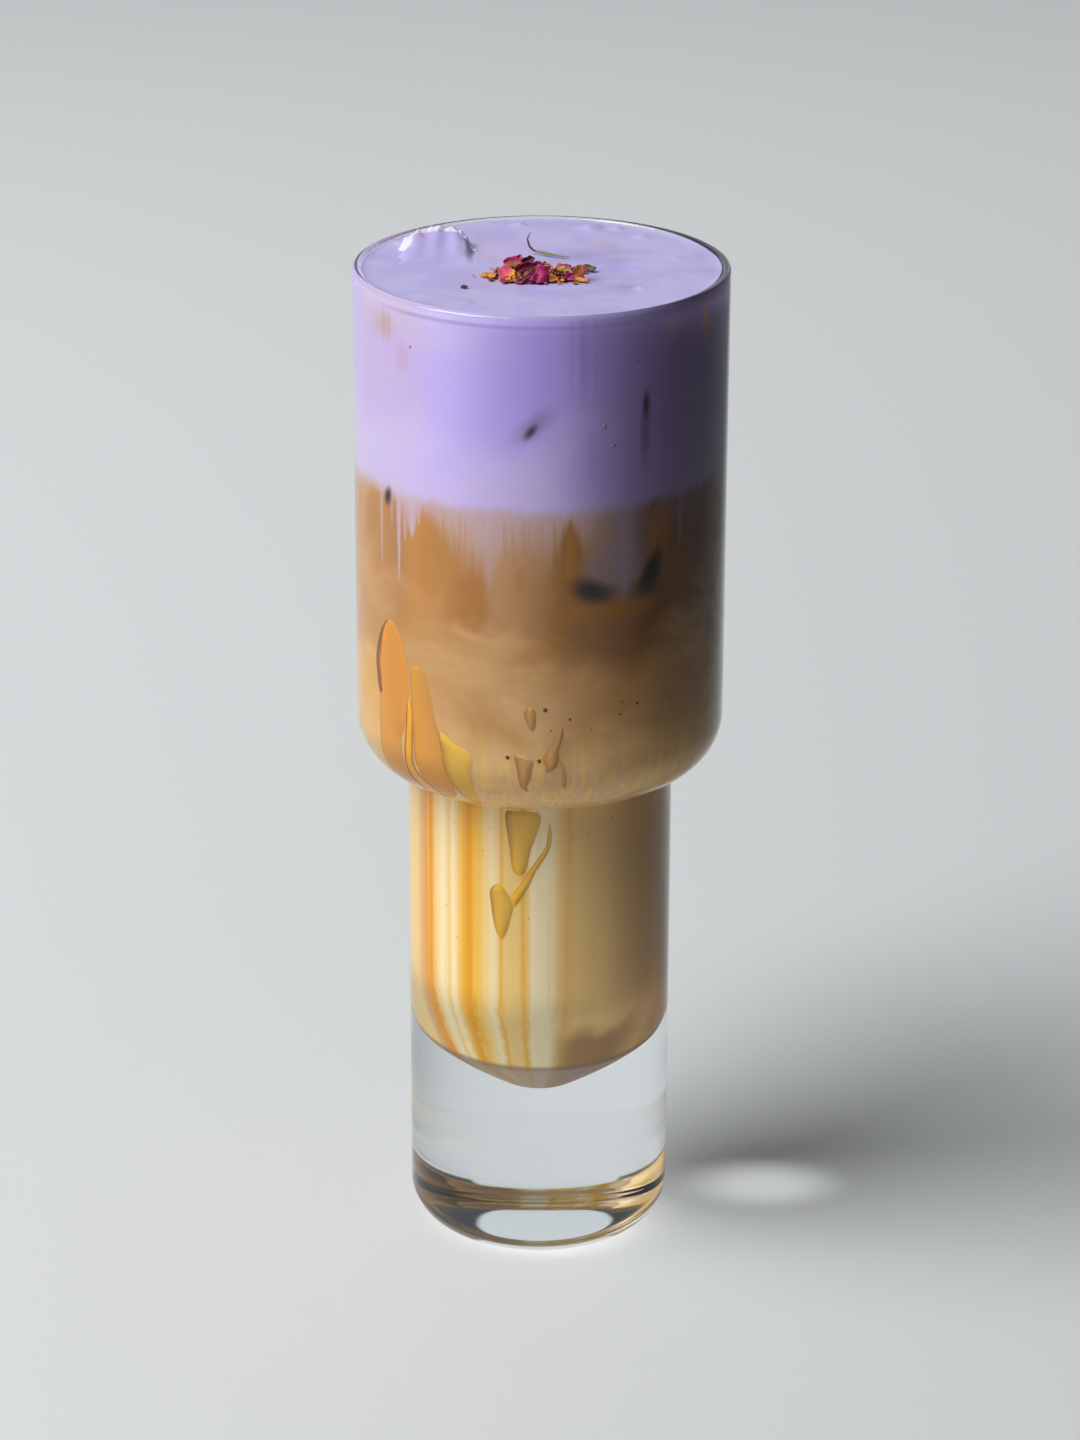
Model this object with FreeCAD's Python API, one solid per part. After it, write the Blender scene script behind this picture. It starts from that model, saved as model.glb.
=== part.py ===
"""Iced lavender latte in a tall stepped glass, in millimetres, +Z up.

The glass is one blown and pressed piece: a wide thin-walled cup stands on a narrower stem, and the stem ends in
a deep solid foot. The cavity runs through both. It holds, from the bottom, milk, latte, coffee and a thick
lavender foam that fills the glass to the brim. A small heap of dried rose petals lies on the foam.

The origin is the centre of the foot's underside, where the glass stands on its table.
"""
import FreeCAD
import Part

import math
import os

from FreeCAD import Vector

# ---------------------------------------------------------------- the glass
GLASS_HEIGHT = 195.0
CUP_RADIUS = 35.0
STEM_RADIUS = 25.4
SHOULDER_HEIGHT = 97.0  # underside of the cup, where it steps in to the stem
SHOULDER_SLOPE = 9.0  # degrees by which the cup's underside rises on its way out
CUP_WALL = 1.6
STEM_WALL = 2.2
SHOULDER_WALL = 2.4
FOOT_THICKNESS = 30.9  # solid glass under the lowest point of the drink

CUP_CORNER = 10.5  # outer rounding where the cup's side turns under
FOOT_CORNER = 7.5
NECK_FILLET = 0.6  # small inside corner between the cup's underside and the stem
RIM_ROUND = 0.75
THROAT_ROUND = 3.0  # where the cup's floor turns down into the stem's bore
# The bore ends in a bowl, and the bowl in a flatter cone, with an edge between them.
BOWL_ROUND = 15.0  # where the bore's wall turns into the bowl
BOWL_SLOPE = 61.0  # degrees from level
BOWL_EDGE_RADIUS = 15.0
BOWL_EDGE_ROUND = 0.8
CONE_SLOPE = 32.0
CONE_TIP_ROUND = 8.0

# ---------------------------------------------------------------- the drink
FOAM_BELOW_RIM = 0.7
FOAM_EDGE_ROUND = 0.6
FOAM_DEPTH = 36.0
COFFEE_DEPTH = 22.0

# Foam runs down the wall into the coffee as a fringe of drips, flared at the root and thin at the tip.
DRIP_COUNT = 28
DRIP_LENGTH = 8.5  # of an average drip
DRIP_WIDTH = 4.2
DRIP_TIP_RADIUS = 0.25
DRIP_WAIST = 0.3  # width a third of the way down, as a share of the root's
DRIP_SPREAD = 0.7  # share by which lengths and widths differ

# Latte and milk rise as rounded billows into the layer above.
BILLOW_COUNT = 9
BILLOW_RADIUS = 8.5
BILLOW_RISE = 4.2
MILK_BILLOW_COUNT = 6
MILK_BILLOW_RADIUS = 7.0
MILK_BILLOW_RISE = 2.0

# A torn peak of foam, left by the spoon: a ramp on the near side, a thin crest, and a steep far side.
PEAK_CENTRE = (-19.2, 11.8)
PEAK_LENGTH = 14.0  # along the crest
PEAK_WIDTH = 13.0  # from the ramp's foot to the steep side
PEAK_HEIGHT = 3.7
PEAK_TURN = -8.0  # degrees from +X to the crest's line
PEAK_DRAW = 0.8  # how far the ramp draws in to the steep side, as a share of what each section loses
# each section of the peak: share of its height, of its length and of its width
PEAK_SECTIONS = ((0.0, 1.0, 1.0), (0.3, 0.9, 0.76), (0.65, 0.76, 0.46), (1.0, 0.56, 0.15))
FOAM_BUMPS = ((71.0, 29.0, 2.6, 0.7), (98.0, 30.0, 1.6, 0.5), (48.0, 28.5, 1.8, 0.45))
# each bump: bearing in degrees, distance from the axis, radius, height

# ---------------------------------------------------------------- the petals
HEAP_LENGTH = 20.5
HEAP_WIDTH = 11.5
HEAP_CORE_HEIGHT = 1.6
HEAP_CENTRE = (-1.0, -4.6)
PETAL_COUNT = 22
PETAL_LENGTH = 4.2
PETAL_WIDTH = 2.6
PETAL_THICKNESS = 0.35

GOLDEN_ANGLE = 137.508
SINK = 0.6  # how deep a lump is let into the surface that carries it, before the two are fused
REACH = 10.0  # how far cutting tools run past the glass

# ---------------------------------------------------------------- sizes that follow
CUP_BORE = CUP_RADIUS - CUP_WALL
STEM_BORE = STEM_RADIUS - STEM_WALL
CUP_FLOOR = SHOULDER_HEIGHT + SHOULDER_WALL
FOAM_LEVEL = GLASS_HEIGHT - FOAM_BELOW_RIM
COFFEE_TOP = FOAM_LEVEL - FOAM_DEPTH
LATTE_TOP = COFFEE_TOP - COFFEE_DEPTH
MILK_TOP = SHOULDER_HEIGHT  # the milk fills the stem
AXIS = Vector(0, 0, 1)


def point(radius, height):
    """A point of a half profile, drawn in the XZ plane."""
    return Vector(radius, 0, height)


def rise(run):
    """How much the shoulder climbs over the given distance outwards."""
    return run * math.tan(math.radians(SHOULDER_SLOPE))


def rounded_edges(corners):
    """Edges of an open profile through (radius, height, rounding) corners, each with its tangent arc.

    Where two roundings would not fit on the run between them, both shrink in the same proportion.
    """
    places = [point(*corner[:2]) for corner in corners]
    runs = [(after - before).Length for before, after in zip(places, places[1:])]
    halves = [math.pi / 2] * len(corners)
    for k in range(1, len(corners) - 1):
        halves[k] = (places[k - 1] - places[k]).getAngle(places[k + 1] - places[k]) / 2
    wanted = [corner[2] / math.tan(half) for corner, half in zip(corners, halves)]
    fits = [min(1.0, run / max(a + b, run)) for run, a, b in zip(runs, wanted, wanted[1:])]

    edges = []
    start = places[0]
    for k in range(1, len(corners) - 1):
        here = places[k]
        back = (places[k - 1] - here).normalize()
        ahead = (places[k + 1] - here).normalize()
        rounding = corners[k][2] * min(fits[k - 1], fits[k])
        setback = rounding / math.tan(halves[k])
        first = here + back * setback
        last = here + ahead * setback
        if (first - start).Length > 1e-6:
            edges.append(Part.LineSegment(start, first).toShape())
        start = last
        if rounding > 0:
            middle = here + (back + ahead).normalize() * (rounding / math.sin(halves[k]) - rounding)
            edges.append(Part.Arc(first, middle, last).toShape())
    if (places[-1] - start).Length > 1e-6:
        edges.append(Part.LineSegment(start, places[-1]).toShape())
    return edges


def turned(edges):
    """The solid that a closed half profile sweeps round the glass's axis."""
    face = Part.Face(Part.Wire(edges))
    solid = face.revolve(Vector(0, 0, 0), AXIS, 360)
    return solid if solid.Volume > 0 else solid.reversed()


def cavity_edges(top):
    """The cavity's wall from the given height down to the bore's tip on the axis."""
    bowl = math.radians(BOWL_SLOPE)
    cone = math.radians(CONE_SLOPE)
    tip_centre = FOOT_THICKNESS + CONE_TIP_ROUND
    tip_edge = (CONE_TIP_ROUND * math.sin(cone), tip_centre - CONE_TIP_ROUND * math.cos(cone))
    bowl_edge = (BOWL_EDGE_RADIUS, tip_edge[1] + (BOWL_EDGE_RADIUS - tip_edge[0]) * math.tan(cone))
    wall_foot = (STEM_BORE, bowl_edge[1] + (STEM_BORE - BOWL_EDGE_RADIUS) * math.tan(bowl))
    corners = [
        (CUP_BORE, top, 0),
        (CUP_BORE, CUP_FLOOR + rise(CUP_BORE - STEM_BORE), CUP_CORNER - CUP_WALL),
        (STEM_BORE, CUP_FLOOR, THROAT_ROUND),
        (*wall_foot, BOWL_ROUND),
        (*bowl_edge, BOWL_EDGE_ROUND),
        (*tip_edge, 0),
    ]
    on_tip = point(CONE_TIP_ROUND * math.sin(cone / 2), tip_centre - CONE_TIP_ROUND * math.cos(cone / 2))
    tip = Part.Arc(point(*tip_edge), on_tip, point(0, FOOT_THICKNESS)).toShape()
    return rounded_edges(corners) + [tip]


def cavity(top):
    """The inside of the glass as a solid, filled to the given height."""
    axis_line = Part.LineSegment(point(0, FOOT_THICKNESS), point(0, top)).toShape()
    lid = Part.LineSegment(point(0, top), point(CUP_BORE, top)).toShape()
    return turned(cavity_edges(top) + [axis_line, lid])


def make_glass():
    """The whole glass in one turn: foot, stem, shoulder, cup, rim, and the cavity back down to its tip.

    It is parted at the step, so that the collision hulls of the cup and of the stem leave the step open.
    """
    rim_middle = CUP_RADIUS - CUP_WALL / 2
    outside = rounded_edges([
        (0, 0, 0),
        (STEM_RADIUS, 0, FOOT_CORNER),
        (STEM_RADIUS, SHOULDER_HEIGHT, NECK_FILLET),
        (CUP_RADIUS, SHOULDER_HEIGHT + rise(CUP_RADIUS - STEM_RADIUS), CUP_CORNER),
        (CUP_RADIUS, GLASS_HEIGHT, RIM_ROUND),
        (rim_middle, GLASS_HEIGHT, 0),
    ])
    rim_start = GLASS_HEIGHT - RIM_ROUND
    rim_inside = rounded_edges([
        (rim_middle, GLASS_HEIGHT, 0),
        (CUP_BORE, GLASS_HEIGHT, RIM_ROUND),
        (CUP_BORE, rim_start - RIM_ROUND, 0),
    ])
    wall = cavity_edges(rim_start - RIM_ROUND)
    axis_line = Part.LineSegment(point(0, FOOT_THICKNESS), point(0, 0)).toShape()
    glass = turned(outside + rim_inside + wall + [axis_line])
    return glass.common(slab(SHOULDER_HEIGHT, GLASS_HEIGHT + REACH)), glass.common(slab(-REACH, SHOULDER_HEIGHT))


def slab(low, high):
    """A flat disc wider than the glass, between two heights."""
    return Part.makeCylinder(CUP_RADIUS + REACH, high - low, Vector(0, 0, low))


def uneven(index, phase):
    """A repeatable irregular number from -1 to 1 for the given item."""
    return (math.sin(index * 2.399 + phase) + math.sin(index * 5.11 + 1.7 * phase)) / 2


def foam_drips():
    """Tapered drips of foam along the wall, from the foam's underside down into the coffee."""
    drips = []
    for i in range(DRIP_COUNT):
        length = DRIP_LENGTH * (1 + DRIP_SPREAD * uneven(i, 0.4))
        width = DRIP_WIDTH * (1 + DRIP_SPREAD * uneven(i, 2.1))
        bearing = math.radians(360 * (i + 0.3 * uneven(i, 3.3)) / DRIP_COUNT)
        half_profile = [
            Part.LineSegment(point(0, SINK), point(width / 2, SINK)).toShape(),
            Part.LineSegment(point(width / 2, SINK), point(width / 2, 0)).toShape(),
            Part.Arc(
                point(width / 2, 0),
                point(width / 2 * DRIP_WAIST + DRIP_TIP_RADIUS, -length / 3),
                point(DRIP_TIP_RADIUS, -length),
            ).toShape(),
            Part.LineSegment(point(DRIP_TIP_RADIUS, -length), point(0, -length)).toShape(),
            Part.LineSegment(point(0, -length), point(0, SINK)).toShape(),
        ]
        drip = turned(half_profile)
        drip.translate(Vector(CUP_BORE * math.cos(bearing), CUP_BORE * math.sin(bearing), COFFEE_TOP))
        drips.append(drip)
    return drips


def billows(level, bore, count, radius, rise, phase):
    """Balls round a wall of the given bore, most of each below the level, so that caps of the given rise stand above it."""
    balls = []
    for i in range(count):
        size = radius * (1 + 0.3 * uneven(i, phase))
        lift = rise * (1 + 0.5 * uneven(i, phase + 1.3))
        bearing = math.radians(360 * (i + 0.25 * uneven(i, phase + 2.0)) / count)
        distance = bore - 0.45 * size
        centre = Vector(distance * math.cos(bearing), distance * math.sin(bearing), level + lift - size)
        balls.append(Part.makeSphere(size, centre))
    return balls


def lobed_wire(length, width, centre, turn, height, lobes=5, wave=0.06):
    """A closed smooth outline: an ellipse whose radius swells and shrinks a given number of times."""
    points = []
    steps = 4 * lobes
    bearing = math.radians(turn)
    for k in range(steps):
        angle = 2 * math.pi * k / steps
        swell = 1 + wave * math.cos(lobes * angle)
        along = length / 2 * swell * math.cos(angle)
        across = width / 2 * swell * math.sin(angle)
        points.append(Vector(
            centre[0] + along * math.cos(bearing) - across * math.sin(bearing),
            centre[1] + along * math.sin(bearing) + across * math.cos(bearing),
            height,
        ))
    curve = Part.BSplineCurve()
    curve.interpolate(points, PeriodicFlag=True)
    return Part.Wire(curve.toShape())


def foam_peak():
    """The torn peak: sections that shrink to a thin crest and stay over the far edge of its foot."""
    turn = math.radians(PEAK_TURN)
    sections = []
    for height_share, length_share, width_share in ((-SINK / PEAK_HEIGHT, 1.0, 1.0),) + PEAK_SECTIONS:
        shift = PEAK_DRAW * PEAK_WIDTH / 2 * (1 - width_share)
        centre = (PEAK_CENTRE[0] - shift * math.sin(turn), PEAK_CENTRE[1] + shift * math.cos(turn))
        sections.append(lobed_wire(
            PEAK_LENGTH * length_share, PEAK_WIDTH * width_share, centre, PEAK_TURN,
            FOAM_LEVEL + PEAK_HEIGHT * height_share,
        ))
    return Part.makeLoft(sections, True)


def foam_bump(bearing, distance, radius, height):
    """A low round cap on the foam."""
    ball = (radius * radius + height * height) / (2 * height)
    angle = math.radians(bearing)
    centre = Vector(distance * math.cos(angle), distance * math.sin(angle), FOAM_LEVEL + height - ball)
    cap = Part.makeSphere(ball, centre)
    return cap.common(Part.makeCylinder(radius * 1.3, height + SINK, Vector(centre.x, centre.y, FOAM_LEVEL - SINK)))


def make_drink():
    """The four layers, cut from one filled cavity so that they meet face to face and lie against the glass."""
    filled = cavity(FOAM_LEVEL)
    drips = [drip.common(filled) for drip in foam_drips()]
    latte_billows = [
        ball.common(filled).common(slab(LATTE_TOP - SINK, COFFEE_TOP - SINK))
        for ball in billows(LATTE_TOP, CUP_BORE, BILLOW_COUNT, BILLOW_RADIUS, BILLOW_RISE, 0.9)
    ]
    milk_billows = [
        ball.common(filled).common(slab(MILK_TOP - SINK, LATTE_TOP - SINK))
        for ball in billows(MILK_TOP, STEM_BORE, MILK_BILLOW_COUNT, MILK_BILLOW_RADIUS, MILK_BILLOW_RISE, 2.6)
    ]

    foam = filled.common(slab(COFFEE_TOP, GLASS_HEIGHT))
    foam = foam.makeFillet(FOAM_EDGE_ROUND, [
        edge for edge in foam.Edges
        if edge.BoundBox.ZMin > FOAM_LEVEL - 0.01 and edge.BoundBox.XLength > CUP_BORE
    ])
    lumps = [foam_peak()] + [foam_bump(*bump) for bump in FOAM_BUMPS]
    foam = foam.multiFuse(drips + lumps).removeSplitter()

    coffee = filled.common(slab(LATTE_TOP, COFFEE_TOP)).cut(drips + latte_billows)
    latte = filled.common(slab(MILK_TOP, LATTE_TOP)).cut(milk_billows).multiFuse(latte_billows).removeSplitter()
    milk = filled.common(slab(0, MILK_TOP)).multiFuse(milk_billows).removeSplitter()
    return foam, coffee, latte, milk


def petal(length, width):
    """One flat dried petal, pointed at the far end and torn square at the near end."""
    outline = [
        Vector(-length / 2, -width * 0.28, 0),
        Vector(-length * 0.1, -width / 2, 0),
        Vector(length * 0.32, -width * 0.36, 0),
        Vector(length / 2, width * 0.04, 0),
        Vector(length * 0.24, width * 0.44, 0),
        Vector(-length * 0.18, width / 2, 0),
        Vector(-length * 0.44, width * 0.2, 0),
    ]
    return Part.Face(Part.makePolygon(outline + outline[:1])).extrude(Vector(0, 0, PETAL_THICKNESS))


def make_petal_heap():
    """A low lobed core with tilted petals standing out of it, cut flat where it lies on the foam."""
    core_sections = [
        lobed_wire(HEAP_LENGTH * size, HEAP_WIDTH * size, HEAP_CENTRE, 4.0, FOAM_LEVEL + height)
        for size, height in ((0.9, 0.0), (0.8, HEAP_CORE_HEIGHT * 0.5), (0.5, HEAP_CORE_HEIGHT))
    ]
    pieces = [Part.makeLoft(core_sections, True)]
    for i in range(PETAL_COUNT):
        share = math.sqrt((i + 0.5) / PETAL_COUNT)
        bearing = math.radians(i * GOLDEN_ANGLE)
        flake = petal(PETAL_LENGTH * (1 + 0.3 * uneven(i, 0.2)), PETAL_WIDTH * (1 + 0.3 * uneven(i, 1.9)))
        flake.rotate(Vector(0, 0, 0), Vector(0, 1, 0), 16 + 30 * abs(uneven(i, 4.4)))
        flake.rotate(Vector(0, 0, 0), Vector(1, 0, 0), 24 * uneven(i, 2.8))
        flake.rotate(Vector(0, 0, 0), AXIS, i * GOLDEN_ANGLE * 0.7)
        reach = 0.72 * share
        flake.translate(Vector(
            HEAP_CENTRE[0] + HEAP_LENGTH / 2 * reach * math.cos(bearing),
            HEAP_CENTRE[1] + HEAP_WIDTH / 2 * reach * math.sin(bearing),
            FOAM_LEVEL + HEAP_CORE_HEIGHT * (1.05 - 0.75 * share),
        ))
        pieces.append(flake)
    heap = pieces[0].multiFuse(pieces[1:])
    above_foam = Part.makeBox(
        2 * HEAP_LENGTH, 2 * HEAP_LENGTH, REACH,
        Vector(HEAP_CENTRE[0] - HEAP_LENGTH, HEAP_CENTRE[1] - HEAP_LENGTH, FOAM_LEVEL),
    )
    return heap.common(above_foam)


def main():
    os.makedirs("parts", exist_ok=True)
    glass_cup, glass_stem = make_glass()
    foam, coffee, latte, milk = make_drink()
    nodes = {
        "glass_cup": glass_cup,
        "glass_stem": glass_stem,
        "lavender_foam": foam,
        "coffee": coffee,
        "latte": latte,
        "milk": milk,
        "petal_heap": make_petal_heap(),
    }
    for name, shape in nodes.items():
        shape.exportStep(os.path.join("parts", name + ".step"))
        box = shape.BoundBox
        print(f"{name}: {len(shape.Solids)} solid(s), {shape.Volume / 1000:.1f} ml, valid {shape.isValid()}, "
              f"z {box.ZMin:.2f} to {box.ZMax:.2f}")


main()
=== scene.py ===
# %% [markdown]
# # An iced lavender latte in a tall stepped glass
#
# The drink stands in a glass with a wide thin cup, a narrower stem and a thick solid foot. From the bottom
# it holds milk streaked with honey, a tan latte, dark coffee and a deep cap of lavender foam. Dried rose
# petals lie on top. The lesson makes each of these as the real thing is: glass as a turned wall with a true
# thickness, the drink as a filling that touches it, and every petal as its own small curled sheet.

import math

import bpy
import numpy as np
from mathutils import Matrix, Vector


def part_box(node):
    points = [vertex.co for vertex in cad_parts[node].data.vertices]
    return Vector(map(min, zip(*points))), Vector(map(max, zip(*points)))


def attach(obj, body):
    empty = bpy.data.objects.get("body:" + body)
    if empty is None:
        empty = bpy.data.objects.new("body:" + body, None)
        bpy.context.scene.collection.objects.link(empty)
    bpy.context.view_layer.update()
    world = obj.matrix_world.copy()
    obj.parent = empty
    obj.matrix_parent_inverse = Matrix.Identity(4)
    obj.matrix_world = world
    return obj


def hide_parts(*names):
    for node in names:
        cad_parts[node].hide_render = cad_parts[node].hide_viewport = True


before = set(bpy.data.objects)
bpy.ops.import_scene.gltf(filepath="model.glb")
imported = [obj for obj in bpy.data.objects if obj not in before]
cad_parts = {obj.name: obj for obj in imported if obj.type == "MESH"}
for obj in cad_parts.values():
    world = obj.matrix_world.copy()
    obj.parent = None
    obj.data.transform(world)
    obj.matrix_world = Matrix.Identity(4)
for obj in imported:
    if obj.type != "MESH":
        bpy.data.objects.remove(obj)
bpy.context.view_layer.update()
print("nodes of the frame:", sorted(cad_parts))

# %% [markdown]
# ## Sizes
#
# Everything is in metres. The glass's height, the cup's radius and the level of the foam are read from the
# frame. The walls, the step and the hollow are named here, because the frame's boxes don't show them.

# %% Sizes of the glass and the levels of the drink
MM = 0.001
DEGREES = 180 / math.pi  # in one radian
cup_low, cup_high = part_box("glass_cup")
foam_low, foam_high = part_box("lavender_foam")
heap_low, heap_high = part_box("petal_heap")

glass_height = cup_high.z
cup_radius = (cup_high.x - cup_low.x) / 2
cup_wall = 1.6 * MM
cup_corner = 10.5 * MM
shoulder_height = 97.0 * MM
shoulder_slope = math.tan(math.radians(9.0))
shoulder_wall = 2.4 * MM
neck_fillet = 0.6 * MM
stem_radius = 25.4 * MM
stem_wall = 2.2 * MM
foot_corner = 7.5 * MM
rim_round = 0.75 * MM
throat_round = 3.0 * MM
foot_thickness = 30.9 * MM
bowl_round = 15.0 * MM
bowl_slope = math.tan(math.radians(61.0))
bowl_edge_radius = 15.0 * MM
bowl_edge_round = 0.8 * MM
cone_slope = math.radians(32.0)
cone_tip_round = 8.0 * MM

foam_level = heap_low.z
coffee_top = 158.4 * MM
latte_top = 136.0 * MM
milk_top = shoulder_height

into_wall = 0.12 * MM  # the drink reaches this far into the glass, so that no air shows between them
cup_bore = cup_radius - cup_wall
stem_bore = stem_radius - stem_wall
cup_floor = shoulder_height + shoulder_wall
inner_corner = cup_corner - cup_wall
print(f"cup {2000 * cup_radius:.0f} mm wide, foam level {1000 * foam_level:.1f} mm")
print("foam and petals in mm:", [round(1000 * corner.z, 1) for corner in (foam_low, foam_high, heap_high)])

# %% [markdown]
# ## Turned shapes
#
# A glass is round, so its surface is one profile carried round an axis. The profile is a list of corners.
# Each corner may be rounded, which puts an arc in its place that touches both of its sides. The arc starts
# at the rounding divided by the tangent of half the corner's angle before the corner.

# %% A profile with rounded corners, and the surface it sweeps
SHARP_EDGE = math.radians(50)  # faces that meet at more than this show an edge


def rounded_profile(corners, arc_steps=10, run_step=None):
    """Points (radius, height) through (radius, height, rounding) corners.

    An arc's points are its centre plus the rounding times the cosine and sine of evenly spaced angles between
    the two touching points. A straight run longer than run_step gets evenly spaced points.
    """
    rounded = []
    for index, (radius, height, rounding) in enumerate(corners):
        here = np.array([radius, height])
        if rounding <= 0 or index in (0, len(corners) - 1):
            rounded.append(here[None])
            continue
        back = np.array(corners[index - 1][:2]) - here
        ahead = np.array(corners[index + 1][:2]) - here
        back /= np.linalg.norm(back)
        ahead /= np.linalg.norm(ahead)
        half = math.acos(np.clip(back @ ahead, -1, 1)) / 2
        middle = (back + ahead) / np.linalg.norm(back + ahead)
        centre = here + middle * rounding / math.sin(half)
        first = here + back * rounding / math.tan(half) - centre
        last = here + ahead * rounding / math.tan(half) - centre
        turn = math.atan2(first[0] * last[1] - first[1] * last[0], first @ last)
        angles = math.atan2(first[1], first[0]) + turn * np.linspace(0, 1, arc_steps + 1)
        rounded.append(centre + rounding * np.stack([np.cos(angles), np.sin(angles)], 1))
    points = np.concatenate(rounded)
    if run_step is None:
        return points
    pieces = [points[:1]]
    for start, end in zip(points, points[1:]):
        count = max(1, math.ceil(np.linalg.norm(end - start) / run_step))
        pieces.append(start + (end - start) * np.linspace(0, 1, count + 1)[1:, None])
    return np.concatenate(pieces)


def grid_faces(rows, columns, closed=True):
    """Four-sided faces of a grid whose points run along each row first; closed joins each row's two ends."""
    steps = columns if closed else columns - 1
    row, column = np.meshgrid(np.arange(rows - 1), np.arange(steps), indexing="ij")
    following = (column + 1) % columns
    return np.stack([
        row * columns + column, row * columns + following,
        (row + 1) * columns + following, (row + 1) * columns + column,
    ], -1).reshape(-1, 4)


def new_object(name, data):
    """Puts an object with this mesh, lamp or camera into the scene."""
    thing = bpy.data.objects.new(name, data)
    bpy.context.scene.collection.objects.link(thing)
    return thing


def make_mesh(name, points, faces, fans=()):
    """A smooth mesh object from points and faces. Each fan joins one point to a ring: (point, ring)."""
    mesh = bpy.data.meshes.new(name)
    polygons = [tuple(face) for face in faces.tolist()]
    for tip, ring in fans:
        polygons += [(tip, b, a) for a, b in zip(ring, np.roll(ring, -1))]
    mesh.from_pydata(points.tolist(), [], polygons)
    mesh.update()
    mesh.polygons.foreach_set("use_smooth", np.full(len(mesh.polygons), True))
    mesh.set_sharp_from_angle(angle=SHARP_EDGE)
    piece = new_object(name, mesh)
    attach(piece, "root")
    return piece


def closed_rings(name, rings, ends, columns, inside_out=False):
    """A closed surface from rings of points, with the given number of columns in each ring.

    Each ring is joined to the next. A fan of triangles joins the first ring to the first end point, and
    another the last ring to the second. inside_out turns all faces round.
    """
    count = len(rings)
    first = np.arange(columns)
    last = count - columns + first
    faces = grid_faces(count // columns, columns)
    fans = [(count, first), (count + 1, last[::-1])]
    if inside_out:
        faces = faces[:, ::-1]
        fans = [(count, first[::-1]), (count + 1, last)]
    return make_mesh(name, np.concatenate([rings, ends]), faces, fans)


def store(piece, name, values):
    """Keeps one number for each point of the piece, for its material to read."""
    kept = piece.data.attributes.new(name, "FLOAT", "POINT")
    kept.data.foreach_set("value", np.asarray(values, float).ravel())


def turned_piece(name, profile, columns=256):
    """A closed surface: each profile point (r, z) goes to (r cos a, r sin a, z) for every angle a of a turn.

    The profile starts and ends on the axis; those two points close the surface as poles.
    """
    angles = 2 * np.pi * np.arange(columns) / columns
    rings = profile[1:-1]
    points = np.stack([
        rings[:, :1] * np.cos(angles), rings[:, :1] * np.sin(angles), rings[:, 1:] * np.ones(columns),
    ], -1).reshape(-1, 3)
    poles = np.array([[0, 0, profile[0, 1]], [0, 0, profile[-1, 1]]])
    return closed_rings(name, points, poles, columns)


# %% [markdown]
# ## The glass
#
# One profile goes out along the underside, up the foot and stem, out under the cup, up to the rounded rim,
# and down the inside to the rounded tip of the hollow. The wall has its real thickness, so light bends in
# it as in the real glass, and the thick foot acts as a lens.

# %% The hollow's profile and the glass
def hollow_profile(top, outward=0.0, arc_steps=12, run_step=None):
    """The hollow's wall from the given height down to its tip, moved outward by the given distance."""
    tip_radius = cone_tip_round + outward
    tip_centre = foot_thickness + cone_tip_round
    tip_edge = (tip_radius * math.sin(cone_slope), tip_centre - tip_radius * math.cos(cone_slope))
    bore = stem_bore + outward
    edge = bowl_edge_radius + outward * math.tan((math.atan(bowl_slope) + cone_slope) / 2)
    bowl_edge = (edge, tip_edge[1] + (edge - tip_edge[0]) * math.tan(cone_slope))
    wall_foot = (bore, bowl_edge[1] + (bore - edge) * bowl_slope)
    slope_rise = shoulder_slope * (cup_bore - stem_bore)
    wall = rounded_profile([
        (cup_bore + outward, top, 0),
        (cup_bore + outward, cup_floor - outward + slope_rise, inner_corner + outward),
        (bore, cup_floor - outward, throat_round - outward),
        (*wall_foot, bowl_round + outward),
        (*bowl_edge, bowl_edge_round + outward),
        (*tip_edge, 0),
    ], arc_steps, run_step)
    angles = cone_slope * np.linspace(1, 0, arc_steps + 1)[1:]
    tip = np.stack([tip_radius * np.sin(angles), tip_centre - tip_radius * np.cos(angles)], 1)
    return np.concatenate([wall, tip])


rim_middle = cup_radius - cup_wall / 2
outside = rounded_profile([
    (0, 0, 0),
    (stem_radius, 0, foot_corner),
    (stem_radius, shoulder_height, neck_fillet),
    (cup_radius, shoulder_height + shoulder_slope * (cup_radius - stem_radius), cup_corner),
    (cup_radius, glass_height, rim_round),
    (rim_middle, glass_height, 0),
], arc_steps=14, run_step=8 * MM)
rim_inside = rounded_profile([
    (rim_middle, glass_height, 0),
    (cup_bore, glass_height, rim_round),
    (cup_bore, glass_height - 2 * rim_round, 0),
], arc_steps=8)
inside = hollow_profile(glass_height - 2 * rim_round, run_step=8 * MM)
glass = turned_piece("glass_wall", np.concatenate([outside, rim_inside[1:], inside[1:]]), columns=320)
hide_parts("glass_cup", "glass_stem")
print("glass:", len(glass.data.polygons), "faces")

# %% [markdown]
# ## The drink
#
# Each layer is its own closed piece, cut from the hollow's profile between two levels. It is made a little
# wider than the hollow, so that it sits just inside the glass wall. If a gap of air were left there, the
# glass would mirror it and the drink would look silver.

# %% The three liquid layers
def layer_piece(name, low, high, node):
    """The filled hollow between two levels, closed by a disc at each, or by the hollow's tip below."""
    wall = hollow_profile(glass_height, into_wall, arc_steps=14, run_step=3 * MM)[::-1]
    between = wall[(wall[:, 1] > low) & (wall[:, 1] < high)]
    top = [[np.interp(high, wall[:, 1], wall[:, 0]), high], [0, high]]
    bottom = [[0, low], [np.interp(low, wall[:, 1], wall[:, 0]), low]]
    if low <= wall[0, 1]:
        bottom = np.zeros((0, 2))
    piece = turned_piece(name, np.concatenate([bottom, between, top]))
    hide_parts(node)
    return piece


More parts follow.
